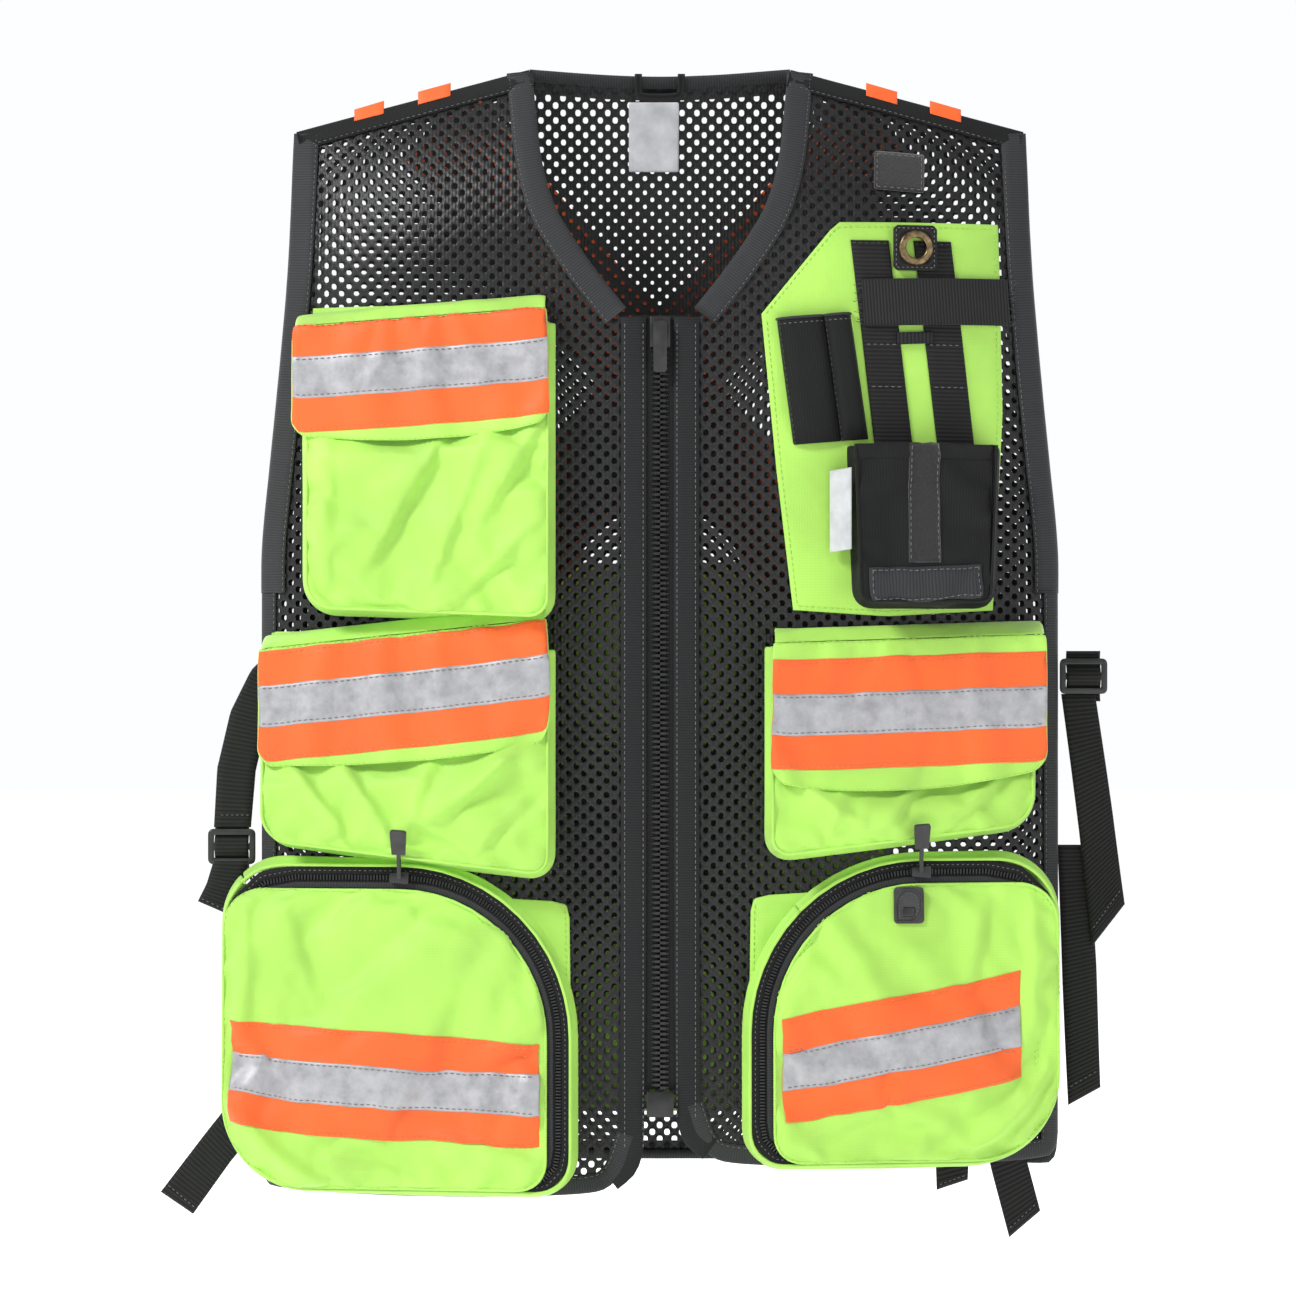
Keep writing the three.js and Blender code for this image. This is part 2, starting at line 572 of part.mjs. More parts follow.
// Grommet tab: a flat plate with a brass grommet, turned to the chest.
const TAB_HALF = 15;
const TAB_X = 169;
const TAB_Z = -122;
const tabYaw = Math.atan(4 * FRONT_DEPTH * TAB_X ** 3 / HALF_WIDTH ** 4);
const tabShape = rectangle(-TAB_HALF, TAB_HALF, -TAB_HALF, TAB_HALF, 2);
const boreRadius = GROMMET_BORE + GROMMET_WALL + GAP;
tabShape.holes.push(new THREE.Path().absarc(0, 0, boreRadius, 0, 2 * Math.PI, true));
const tabGeometry = new THREE.ExtrudeGeometry(tabShape,
  { depth: PLATE_THICK, bevelEnabled: false, curveSegments: 12 });
tabGeometry.rotateX(Math.PI / 2);
const tabSeat = onFront(LAYER_3 + 1.4)(TAB_X, TAB_Z);
addTurned("grommet_tab", tabGeometry, finish(BLACK, 0.8), [TAB_X, tabSeat, TAB_Z], [0, 0, tabYaw]);
const grommetProfile = [
  [GROMMET_BORE, 0], [GROMMET_BORE + GROMMET_WALL, 0],
  [GROMMET_BORE + GROMMET_WALL, PLATE_THICK + GAP], [GROMMET_FLANGE, PLATE_THICK + GAP],
  [GROMMET_FLANGE - 1, PLATE_THICK + GAP + 1.4], [GROMMET_BORE + 0.8, PLATE_THICK + GAP + 1.6],
  [GROMMET_BORE, PLATE_THICK + GAP + 1], [GROMMET_BORE, 0],
].map(([r, y]) => new THREE.Vector2(r, y));
const grommetGeometry = new THREE.LatheGeometry(grommetProfile, 24);
grommetGeometry.rotateX(Math.PI);
addTurned("grommet", grommetGeometry, finish(BRASS, 0.4, 0.9), [TAB_X, tabSeat, TAB_Z], [0, 0, tabYaw]);

// Pen sleeve: two channels, open at the top.
const penShape = outline([[77, -170], [126, -166], [138, -249, 4], [88, -253, 4]]);
let penSleeve = cloth(penShape, onFront(LAYER_2 + PEN_DEPTH), onFront(LAYER_2));
const channels = [
  [[79, -160], [104, -160], [113, -246, 3], [90, -248, 3]],
  [[107, -160], [124, -160], [135.5, -244, 3], [116, -246, 3]],
];
for (const corners of channels) {
  const channel = outline(corners);
  penSleeve = penSleeve.subtract(
    cloth(channel, onFront(LAYER_2 + PEN_DEPTH - POUCH_WALL), onFront(LAYER_2 + POUCH_WALL)));
}
add("pen_sleeve", penSleeve, finish(BLACK, 0.85));

// Radio pouch, with a flat front.
const POUCH = { inner: 128, outer: 222, topZ: -253, bottomZ: -356 };
const POUCH_LEAN = 0.2;
const pouchPlane = (depth) => (x) =>
  -(FRONT_DEPTH + POUCH_PROUD - POUCH_LEAN * (x - POUCH.inner)) + depth;
const pouchShape = outline([
  [POUCH.inner, POUCH.topZ], [POUCH.outer, POUCH.topZ],
  [POUCH.outer - 4, POUCH.bottomZ, 6], [POUCH.inner + 4, POUCH.bottomZ, 6],
]);
const pouchHollow = outline([
  [POUCH.inner + POUCH_WALL, POUCH.topZ + 9], [POUCH.outer - POUCH_WALL, POUCH.topZ + 9],
  [POUCH.outer - 4 - POUCH_WALL, POUCH.bottomZ + POUCH_WALL, 5],
  [POUCH.inner + 4 + POUCH_WALL, POUCH.bottomZ + POUCH_WALL, 5],
]);
const pouch = cloth(pouchShape, pouchPlane(0), onFront(LAYER_3))
  .subtract(cloth(pouchHollow, pouchPlane(POUCH_WALL), onFront(LAYER_3 + POUCH_WALL)));
add("radio_pouch", pouch, finish(BLACK, 0.8));
const hookShape = rectangle(164, 183, POUCH.topZ - 2, -329);
add("pouch_hook_strip", cloth(hookShape, pouchPlane(-GAP - 1.2), pouchPlane(-GAP)), finish(BLACK, 0.95));
const pouchFlapShape = outline([[139, -333], [209, -330], [210, -351, 3], [140, -355, 3]]);
add("pouch_flap", cloth(pouchFlapShape, pouchPlane(-GAP - PLATE_THICK), pouchPlane(-GAP)),
  finish(CHARCOAL, 0.8));
const micShape = outline([[143, -55, 2], [177, -57, 2], [176, -84, 2], [142, -82, 2]]);
add("mic_patch", layerOn(micShape, LAYER_1, BINDING_THICK), finish(BLACK, 0.95));

// Back: the crossing tapes in one layer, and the cargo pouch over their lower arms.
const CROSS_TOP_X = 172;
const CROSS_TOP_Z = -5;
const CROSS_END_X = 188;
const CROSS_END_Z = -429;
let cross = null;
for (const { sign } of SIDES) {
  const run = new THREE.Vector2(-CROSS_END_X - CROSS_TOP_X, CROSS_END_Z - CROSS_TOP_Z).normalize();
  const side = new THREE.Vector2(-run.y, run.x).multiplyScalar(TAPE_WIDTH / 2);
  const corners = [
    [CROSS_TOP_X + side.x, CROSS_TOP_Z + side.y], [CROSS_TOP_X - side.x, CROSS_TOP_Z - side.y],
    [-CROSS_END_X - side.x, CROSS_END_Z - side.y], [-CROSS_END_X + side.x, CROSS_END_Z + side.y],
  ];
  const arm = layerBehind(outline(mirrored(corners, sign)), LAYER_1, TAPE_THICK);
  cross = cross ? cross.add(arm) : arm;
}
const crossLimit = outline([
  [-TIP_HALF + 22, -52], [-NECK_HALF - 22, -20], [NECK_HALF + 22, -20], [TIP_HALF - 22, -52],
  [TIP_HALF - 22, -600], [-TIP_HALF + 22, -600],
]);
add("back_tape_cross", cross.intersect(prism(crossLimit)), finish(SILVER, 0.5));
const REAR = { half: HALF_WIDTH - 120, topZ: -330, bottomZ: -700 };
const rearShape = rectangle(-REAR.half, REAR.half, REAR.topZ, REAR.bottomZ, 14);
const rearHollow = rectangle(-REAR.half + POUCH_WALL, REAR.half - POUCH_WALL,
  REAR.topZ + 30, REAR.bottomZ + POUCH_WALL, 12);
const rearNear = LAYER_1 + TAPE_THICK + GAP;
const rear = cloth(rearShape, onBack(rearNear), onBack(rearNear + REAR_POUCH_DEPTH))
  .subtract(cloth(rearHollow, onBack(rearNear + POUCH_WALL),
    onBack(rearNear + REAR_POUCH_DEPTH - POUCH_WALL)));
add("rear_pouch", rear, finish(YELLOW, 0.8));

// Side straps, buckles and free tails. Each is flat, in the plane of the side seams.
const STRAP = finish(BLACK, 0.8);
// Corners are [distance outwards from the side seam, z, radius].
const strap = (name, sign, y, corners) => {
  const shape = outline(corners.map(([out, z, radius]) => [sign * (SIDE_X + out), z, radius]), 6);
  add(name, cloth(shape, flat(y - STRAP_THICK / 2), flat(y + STRAP_THICK / 2)), STRAP);
};
strap("strap_right", -1, 0, [
  [-5, -388], [9, -402, 6], [23, -430, 10], [32, -468, 10],
  [34, -508], [9, -508], [6, -470, 10], [-3, -432, 6],
]);
strap("strap_tail_right", -1, 0, [[34, -536], [10, -536], [22, -568], [45, -558]]);
strap("lower_tail_right", -1, 0, [[1.5, -708], [18, -687], [70, -754], [48, -769]]);
strap("strap_tail_left", 1, 0, [[3, -421], [27, -421], [47, -560], [25, -588]]);
strap("side_tail_left", 1, 4, [[2, -520], [23, -520], [31, -684], [9, -696]]);
strap("lower_tail_left", 1, 0, [[-53, -694], [-29, -694], [-10, -767], [-31, -785]]);
strap("inner_tail_left", 1, 0, [[-81, -700], [-58, -700], [-59, -746], [-80, -753]]);

function buckleGeometry() {
  const [half, tall] = [BUCKLE_WIDTH / 2, BUCKLE_HEIGHT / 2];
  let frame = cloth(rectangle(-half, half, -tall, tall, 4),
    flat(-BUCKLE_THICK / 2), flat(BUCKLE_THICK / 2));
  for (const side of [-1, 1]) {
    const slot = rectangle(-half + BUCKLE_BAR, half - BUCKLE_BAR,
      side * BUCKLE_BAR / 2, side * (tall - BUCKLE_BAR));
    frame = frame.subtract(prism(slot));
  }
  return geometryOf(frame);
}
addTurned("buckle_right", buckleGeometry(), finish(BLACK, 0.35), [-SIDE_X - 22, 0, -521]);
addTurned("buckle_left", buckleGeometry(), finish(BLACK, 0.35), [SIDE_X + 19, 0, -406]);

export default vest;
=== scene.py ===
"""The looks of the high visibility vest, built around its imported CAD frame.

Lengths in the helpers are millimetres, in the row frame: +Z up, the front towards -Y,
the wearer's left towards +X. A mesh is scaled to metres when it is made.
"""
import math

import bpy
import numpy as np
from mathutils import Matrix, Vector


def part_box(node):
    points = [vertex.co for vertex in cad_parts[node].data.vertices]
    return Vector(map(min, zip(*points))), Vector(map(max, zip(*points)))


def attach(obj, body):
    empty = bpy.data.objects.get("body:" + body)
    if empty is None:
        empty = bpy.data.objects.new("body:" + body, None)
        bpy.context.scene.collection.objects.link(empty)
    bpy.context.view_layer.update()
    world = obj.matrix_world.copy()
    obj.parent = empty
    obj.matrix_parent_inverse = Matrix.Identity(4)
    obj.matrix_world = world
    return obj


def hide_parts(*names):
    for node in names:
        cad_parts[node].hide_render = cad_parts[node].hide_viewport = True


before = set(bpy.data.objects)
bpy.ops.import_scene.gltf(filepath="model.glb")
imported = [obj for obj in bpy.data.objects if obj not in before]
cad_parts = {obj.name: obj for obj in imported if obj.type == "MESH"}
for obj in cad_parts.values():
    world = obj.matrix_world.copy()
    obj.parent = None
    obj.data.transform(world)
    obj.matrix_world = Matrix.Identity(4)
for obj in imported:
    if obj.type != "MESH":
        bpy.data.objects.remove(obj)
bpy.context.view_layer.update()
MM = 0.001

# The torso and pocket planes, as the CAD model has them.
HALF_WIDTH = 270.0
FRONT_DEPTH = 60.0
BACK_DEPTH = 50.0
SHOULDER_ROUND = 120.0
NECK_HALF = 88.0
NECK_Z = 2.0
TIP_HALF = 245.0
TIP_Z = -40.0
SIDE_X = 267.0
HEM_RIGHT_Z = -748.0
HEM_LEFT_Z = -728.0
HEM_BACK_Z = -735.0
LAYER_1 = 2.3
LAYER_2 = 3.8
LAYER_3 = 5.7
POCKET_INNER = 74.0
POCKET_FRONT = 78.0
POCKET_LEAN = 0.15
POCKET_FLARE = 0.06
TAPE_WIDTH = 65.0
SILVER_WIDTH = 24.5
ARMHOLE = [(245, -40), (247, -125), (253, -190), (261, -265), (267, -318), (267, -350)]
NECKLINE = [(24, -163), (52, -128), (79, -84), (88, 2)]


# ---------------------------------------------------------------- camera and studio
def make_camera():
    """Straight on, as far back as a product photographer stands."""
    data = bpy.data.cameras.new("camera")
    camera = bpy.data.objects.new("camera", data)
    bpy.context.scene.collection.objects.link(camera)
    distance, framed = 3.0, 0.855
    data.lens = data.sensor_width * distance / framed
    camera.location = (-0.008, -distance - 0.07, -0.387)
    camera.rotation_euler = (math.radians(90), 0, 0)
    bpy.context.scene.camera = camera


def make_light(name, location, size, power, target=(0, 0, -0.38)):
    data = bpy.data.lights.new(name, "AREA")
    data.shape = "DISK"
    data.size = size
    data.energy = power
    light = bpy.data.objects.new(name, data)
    bpy.context.scene.collection.objects.link(light)
    light.location = location
    offset = [target[i] - location[i] for i in range(3)]
    from mathutils import Vector
    light.rotation_euler = Vector(offset).to_track_quat("-Z", "Y").to_euler()


def make_studio():
    make_light("key", (-2.1, -1.9, 1.9), 0.9, 92)
    make_light("fill", (2.2, -2.6, 0.2), 2.0, 13)
    make_light("rim_left", (-1.9, 1.6, 0.9), 1.4, 22)
    make_light("rim_right", (1.9, 1.8, 0.7), 1.4, 22)
    world = bpy.data.worlds.new("studio")
    bpy.context.scene.world = world
    world.use_nodes = True
    tree = world.node_tree
    background = tree.nodes["Background"]
    background.inputs["Color"].default_value = (0.98, 0.99, 1.0, 1)
    # The sweep behind the vest is white; the room in front of it is dimmer.
    where = tree.nodes.new("ShaderNodeTexCoord")
    split = tree.nodes.new("ShaderNodeSeparateXYZ")
    bright = tree.nodes.new("ShaderNodeMapRange")
    bright.inputs["From Min"].default_value = 0.0
    bright.inputs["From Max"].default_value = 0.7
    bright.inputs["To Min"].default_value = 0.42
    bright.inputs["To Max"].default_value = 1.0
    tree.links.new(where.outputs["Generated"], split.inputs["Vector"])
    tree.links.new(split.outputs["Y"], bright.inputs["Value"])
    tree.links.new(bright.outputs[0], background.inputs["Strength"])
    half = 12.0
    mesh = bpy.data.meshes.new("floor")
    corners = [(-half, -half, 0), (half, -half, 0), (half, half, 0), (-half, half, 0)]
    mesh.from_pydata(corners, [], [(0, 1, 2, 3)])
    floor = bpy.data.objects.new("floor", mesh)
    floor.location.z = -0.86
    bpy.context.scene.collection.objects.link(floor)
    material = bpy.data.materials.new("floor")
    material.use_nodes = True
    shader = material.node_tree.nodes["Principled BSDF"]
    shader.inputs["Base Color"].default_value = (0.90, 0.90, 0.90, 1)
    shader.inputs["Roughness"].default_value = 0.9
    shader.inputs["Emission Color"].default_value = (1, 1, 1, 1)
    shader.inputs["Emission Strength"].default_value = 0.5
    mesh.materials.append(material)


# ---------------------------------------------------------------- materials
class Recipe:
    """A Principled material with short calls for the nodes that feed it."""

    def __init__(self, name, color, roughness, metallic=0.0, sheen=0.0, coat=0.0):
        self.material = bpy.data.materials.new(name)
        self.material.use_nodes = True
        self.tree = self.material.node_tree
        self.shader = self.tree.nodes["Principled BSDF"]
        self.shader.inputs["Base Color"].default_value = (*color, 1)
        self.shader.inputs["Roughness"].default_value = roughness
        self.shader.inputs["Metallic"].default_value = metallic
        self.shader.inputs["Sheen Weight"].default_value = sheen
        self.shader.inputs["Coat Weight"].default_value = coat
        self.color = color
        self.bumped = None

    def node(self, kind, **values):
        made = self.tree.nodes.new(kind)
        for key, value in values.items():
            setattr(made, key, value)
        return made

    def link(self, source, target):
        self.tree.links.new(source, target)

    def coords(self, source="Object", scale=(1, 1, 1)):
        where = self.node("ShaderNodeTexCoord")
        mapping = self.node("ShaderNodeMapping")
        mapping.inputs["Scale"].default_value = scale
        self.link(where.outputs[source], mapping.inputs["Vector"])
        return mapping.outputs["Vector"]

    def noise(self, vector, scale, detail=4.0, roughness=0.55):
        made = self.node("ShaderNodeTexNoise")
        made.inputs["Scale"].default_value = scale
        made.inputs["Detail"].default_value = detail
        made.inputs["Roughness"].default_value = roughness
        self.link(vector, made.inputs["Vector"])
        return made.outputs["Fac"]

    def wave(self, vector, scale, direction, distortion=0.0, profile="SIN"):
        made = self.node("ShaderNodeTexWave", wave_type="BANDS",
                         bands_direction=direction, wave_profile=profile)
        made.inputs["Scale"].default_value = scale
        made.inputs["Distortion"].default_value = distortion
        self.link(vector, made.inputs["Vector"])
        return made.outputs["Fac"]

    def math(self, operation, a, b):
        made = self.node("ShaderNodeMath", operation=operation)
        for socket, value in zip(made.inputs, (a, b)):
            if isinstance(value, (int, float)):
                socket.default_value = value
            else:
                self.link(value, socket)
        return made.outputs[0]

    def ramp(self, fac, stops):
        made = self.node("ShaderNodeValToRGB")
        elements = made.color_ramp.elements
        while len(elements) < len(stops):
            elements.new(0.5)
        for element, (position, color) in zip(elements, stops):
            element.position = position
            element.color = (*color, 1)
        self.link(fac, made.inputs["Fac"])
        return made.outputs["Color"]

    def paint(self, color_socket):
        self.link(color_socket, self.shader.inputs["Base Color"])

    def roughen(self, fac, low, high):
        made = self.node("ShaderNodeMapRange")
        made.inputs["To Min"].default_value = low
        made.inputs["To Max"].default_value = high
        self.link(fac, made.inputs["Value"])
        self.link(made.outputs[0], self.shader.inputs["Roughness"])

    def bump(self, height, distance, strength=1.0):
        made = self.node("ShaderNodeBump")
        made.inputs["Distance"].default_value = distance * MM
        made.inputs["Strength"].default_value = strength
        self.link(height, made.inputs["Height"])
        if self.bumped is not None:
            self.link(self.bumped, made.inputs["Normal"])
        self.bumped = made.outputs["Normal"]
        self.link(self.bumped, self.shader.inputs["Normal"])


def shade(color, factor):
    return tuple(min(1.0, channel * factor) for channel in color)


def bright_cloth(name, color, dark=0.80, painted_glow=0.03, pitch=0.9):
    """Fluorescent polyester: fine plain weave, faint sheen, soft dye variation and a faint painted glow."""
    recipe = Recipe(name, color, 0.62, sheen=0.25)
    vector = recipe.coords()
    broad = recipe.noise(vector, 14.0, 3.0)
    recipe.paint(recipe.ramp(broad, [(0.30, shade(color, dark)), (0.70, shade(color, 1.04))]))
    across = recipe.wave(vector, 1000 / pitch / 6.283, "X")
    along = recipe.wave(vector, 1000 / pitch / 6.283, "Z")
    recipe.bump(recipe.math("ADD", across, along), 0.06, 0.5)
    recipe.bump(recipe.noise(vector, 90.0, 5.0), 0.9, 0.35)
    recipe.roughen(recipe.noise(vector, 40.0), 0.5, 0.72)
    # Painted glow: a faint emission in the cloth's own colour, so that it looks brighter than the lamps alone
    # make it.
    recipe.shader.inputs["Emission Color"].default_value = (*color, 1)
    recipe.shader.inputs["Emission Strength"].default_value = painted_glow
    return recipe.material


def silver_tape():
    """Glass-bead reflective tape: mottled grey with a fine grain and handling creases."""
    recipe = Recipe("silver_reflective", (0.36, 0.36, 0.38), 0.45, metallic=0.35)
    vector = recipe.coords()
    mottle = recipe.noise(vector, 95.0, 6.0, 0.62)
    recipe.paint(recipe.ramp(mottle, [
        (0.28, (0.30, 0.30, 0.32)), (0.5, (0.40, 0.40, 0.42)), (0.75, (0.50, 0.50, 0.53))]))
    cells = recipe.node("ShaderNodeTexVoronoi")
    cells.inputs["Scale"].default_value = 1400.0
    recipe.link(vector, cells.inputs["Vector"])
    recipe.bump(cells.outputs["Distance"], 0.05, 0.5)
    recipe.bump(recipe.noise(vector, 160.0, 4.0), 0.35, 0.5)
    recipe.roughen(mottle, 0.34, 0.6)
    return recipe.material


def dark_weave(name, color, rough, rib=1.3, direction="Y", depth=0.35, spread=(0.6, 1.6)):
    """Black webbing or binding: ribs across the strap, with painted shade in the rib valleys and painted
    highlight on the rib crests, broken up by random patches.
    """
    recipe = Recipe(name, color, rough, sheen=0.06)
    recipe.shader.inputs["Specular IOR Level"].default_value = 0.2
    flat = recipe.coords("UV")
    ribs = recipe.wave(flat, 1000 / rib / 6.283, direction, 0.25)
    solid = recipe.coords()
    patches = recipe.noise(solid, 60.0, 5.0)
    # Painted shade and highlight: darker where the ribs dip, lighter where they rise, times a random patch
    # tone.
    mixed = recipe.math("MULTIPLY", ribs, recipe.math("ADD", patches, 0.4))
    recipe.paint(recipe.ramp(mixed, [
        (0.05, shade(color, spread[0])), (0.75, shade(color, spread[1]))]))
    recipe.bump(ribs, depth, 0.7)
    recipe.bump(recipe.noise(solid, 900.0, 3.0), 0.12, 0.5)
    return recipe.material


def mesh_cloth():
    """The black net: slightly shiny knitted yarn with a vertical knit line."""
    recipe = Recipe("black_mesh", (0.012, 0.012, 0.013), 0.42, sheen=0.03)
    recipe.shader.inputs["Specular IOR Level"].default_value = 0.35
    vector = recipe.coords()
    patches = recipe.noise(vector, 420.0, 4.0)
    recipe.paint(recipe.ramp(patches, [(0.3, (0.006, 0.006, 0.007)), (0.75, (0.019, 0.019, 0.020))]))
    recipe.bump(recipe.wave(vector, 1000 / 1.2 / 6.283, "X", 0.6), 0.2, 0.6)
    recipe.roughen(recipe.noise(vector, 130.0), 0.3, 0.62)
    return recipe.material


def fuzzy(name, color):
    """Hook or loop tape: short fibres that break up the light."""
    recipe = Recipe(name, color, 0.95, sheen=0.5)
    vector = recipe.coords()
    lint = recipe.noise(vector, 700.0, 6.0, 0.7)
    recipe.paint(recipe.ramp(lint, [
        (0.35, shade(color, 0.6)), (0.62, shade(color, 1.3)), (0.78, shade(color, 5.0))]))
    recipe.bump(lint, 0.6, 0.9)
    return recipe.material


def moulded(name, color, rough=0.38):
    """Injection-moulded plastic with a fine spark-eroded grain and random lighter, rougher patches of wear.
    """
    recipe = Recipe(name, color, rough)
    vector = recipe.coords()
    grain = recipe.noise(vector, 1500.0, 3.0)
    recipe.bump(grain, 0.05, 0.5)
    wear = recipe.noise(vector, 110.0, 5.0)
    recipe.paint(recipe.ramp(wear, [(0.35, shade(color, 0.8)), (0.75, shade(color, 1.8))]))
    recipe.roughen(wear, rough - 0.08, rough + 0.14)
    return recipe.material


def antique_brass():
    recipe = Recipe("antique_brass", (0.23, 0.15, 0.07), 0.36, metallic=1.0)
    vector = recipe.coords()
    tarnish = recipe.noise(vector, 260.0, 6.0, 0.65)
    recipe.paint(recipe.ramp(tarnish, [
        (0.3, (0.07, 0.048, 0.03)), (0.55, (0.24, 0.17, 0.09)), (0.8, (0.50, 0.38, 0.22))]))
    recipe.roughen(tarnish, 0.25, 0.5)
    recipe.bump(tarnish, 0.08, 0.5)
    return recipe.material


def satin_label():
    recipe = Recipe("satin_label", (0.55, 0.56, 0.58), 0.33, sheen=0.3)
    vector = recipe.coords()
    recipe.bump(recipe.wave(vector, 1000 / 0.7 / 6.283, "X"), 0.05, 0.5)
    patches = recipe.noise(vector, 70.0, 4.0)
    recipe.paint(recipe.ramp(patches, [(0.3, (0.45, 0.46, 0.48)), (0.7, (0.66, 0.67, 0.70))]))
    return recipe.material


def plain_thread(name, color):
    recipe = Recipe(name, color, 0.6, sheen=0.2)
    vector = recipe.coords()
    twist = recipe.noise(vector, 1200.0, 2.0)
    recipe.paint(recipe.ramp(twist, [(0.3, shade(color, 0.7)), (0.7, shade(color, 1.2))]))
    recipe.bump(twist, 0.1, 0.6)
    return recipe.material


YELLOW_RGB = (0.42, 0.77, 0.11)
ORANGE_RGB = (0.93, 0.125, 0.012)
MATERIALS = {
    "yellow": bright_cloth("yellow_cloth", YELLOW_RGB),
    "orange": bright_cloth("orange_cloth", ORANGE_RGB, 0.86, 0.03, 0.7),
    "silver": silver_tape(),
    "mesh": mesh_cloth(),
    "webbing": dark_weave("black_webbing", (0.011, 0.011, 0.011), 0.62),
    "binding": dark_weave("charcoal_binding", (0.031, 0.032, 0.034), 0.68, 0.9, "X", 0.14, (0.8, 1.3)),
    "facing": dark_weave("facing_cloth", (0.014, 0.0145, 0.0155), 0.68, 0.9, "X", 0.14, (0.8, 1.3)),
    "elastic": dark_weave("black_elastic", (0.017, 0.017, 0.018), 0.8, 1.0, "X", 0.3),
    "cloth_black": dark_weave("black_cloth", (0.0085, 0.0088, 0.009), 0.7, 0.8, "X", 0.1, (0.8, 1.3)),
    "hook": fuzzy("hook_and_loop", (0.014, 0.014, 0.014)),
    "plastic": moulded("black_plastic", (0.018, 0.018, 0.019)),
    "rubber": moulded("soft_plastic", (0.028, 0.028, 0.029), 0.55),
    "teeth": moulded("tooth_plastic", (0.013, 0.013, 0.014), 0.28),
    "brass": antique_brass(),
    "label": satin_label(),
    "thread_black": plain_thread("black_thread", (0.03, 0.03, 0.03)),
    "thread_grey": plain_thread("grey_thread", (0.16, 0.16, 0.16)),
    "thread_yellow": plain_thread("yellow_thread", (0.42, 0.75, 0.10)),
    "thread_orange": plain_thread("orange_thread", (0.85, 0.2, 0.05)),
}


# ---------------------------------------------------------------- surfaces, in mm
def value_noise(x, z, scale, seed):
    """Smooth noise from -1 to 1 that is the same in every run."""
    table = np.random.RandomState(seed).uniform(-1, 1, (64, 64))
    px, pz = np.asarray(x) / scale, np.asarray(z) / scale
    ix, iz = np.floor(px).astype(int), np.floor(pz).astype(int)
    fx, fz = px - ix, pz - iz
    fx, fz = fx * fx * (3 - 2 * fx), fz * fz * (3 - 2 * fz)
    pick = lambda a, b: table[a % 64, b % 64]
    low = pick(ix, iz) * (1 - fx) + pick(ix + 1, iz) * fx
    high = pick(ix, iz + 1) * (1 - fx) + pick(ix + 1, iz + 1) * fx
    return low * (1 - fz) + high * fz


def shoulder_z(x):
    t = np.clip((np.abs(x) - NECK_HALF) / (TIP_HALF - NECK_HALF), 0, 1)
    return NECK_Z + (TIP_Z - NECK_Z) * t


def fullness(x, z):
    across = np.maximum(0, 1 - (np.abs(x) / HALF_WIDTH) ** 4)
    down = np.clip((shoulder_z(x) - z) / SHOULDER_ROUND, 0, 1)
    return across * (1 - (1 - down) ** 2)


def ripple(x, z, seed):
    """Slow waves of hanging cloth, still at the zipper and along the shoulder."""
    calm = np.clip((np.abs(x) - 30) / 60, 0, 1) * np.clip((-z - 60) / 120, 0, 1)
    return calm * (1.3 * value_noise(x, z * 0.4, 46, seed) + 0.6 * value_noise(x, z, 22, seed + 1))


def front_y(x, z):
    return -FRONT_DEPTH * fullness(x, z) - ripple(x, z, 3)


def back_y(x, z):
    return BACK_DEPTH * fullness(x, z) + ripple(x, z, 7)


class Face:
    """A surface y(x, z) and the way out of it, -1 for the front and 1 for the back."""

    def __init__(self, y, out=-1):
        self.y = y
        self.out = out

    def at(self, x, z, offset):
        return np.stack([x, self.y(x, z) + self.out * offset, z], axis=-1)


FRONT = Face(front_y)
BACK = Face(back_y, 1)


def plane_face(top_z, depth=0.0):
    """A pocket's front plane."""
    def y(x, z):
        lean = POCKET_LEAN * (np.abs(x) - POCKET_INNER)
        return -(POCKET_FRONT - lean + POCKET_FLARE * (top_z - z)) + depth
    return Face(y)


class Grid:
    """A finished sheet of points that other layers follow, with u across and v up."""

    def __init__(self, points):
        self.points = np.asarray(points, float)
        du = np.gradient(self.points, axis=1)
        dv = np.gradient(self.points, axis=0)
        normal = np.cross(du, dv)
        length = np.linalg.norm(normal, axis=-1, keepdims=True)
        normal = normal / np.maximum(length, 1e-9)
        if normal[..., 1].mean() > 0:
            normal = -normal
        self.normals = normal

    def sample(self, u, v, offset=0.0):
        rows, columns = self.points.shape[:2]
        fu = np.clip(u, 0, 1) * (columns - 1)
        fv = np.clip(v, 0, 1) * (rows - 1)
        iu = np.minimum(fu.astype(int), columns - 2)
        iv = np.minimum(fv.astype(int), rows - 2)
        a, b = (fu - iu)[..., None], (fv - iv)[..., None]

        def mixed(data):
            low = data[iv, iu] * (1 - a) + data[iv, iu + 1] * a
            high = data[iv + 1, iu] * (1 - a) + data[iv + 1, iu + 1] * a
            return low * (1 - b) + high * b

        offset = np.asarray(offset, float)
        if offset.ndim:
            offset = offset[..., None]
        return mixed(self.points) + mixed(self.normals) * offset


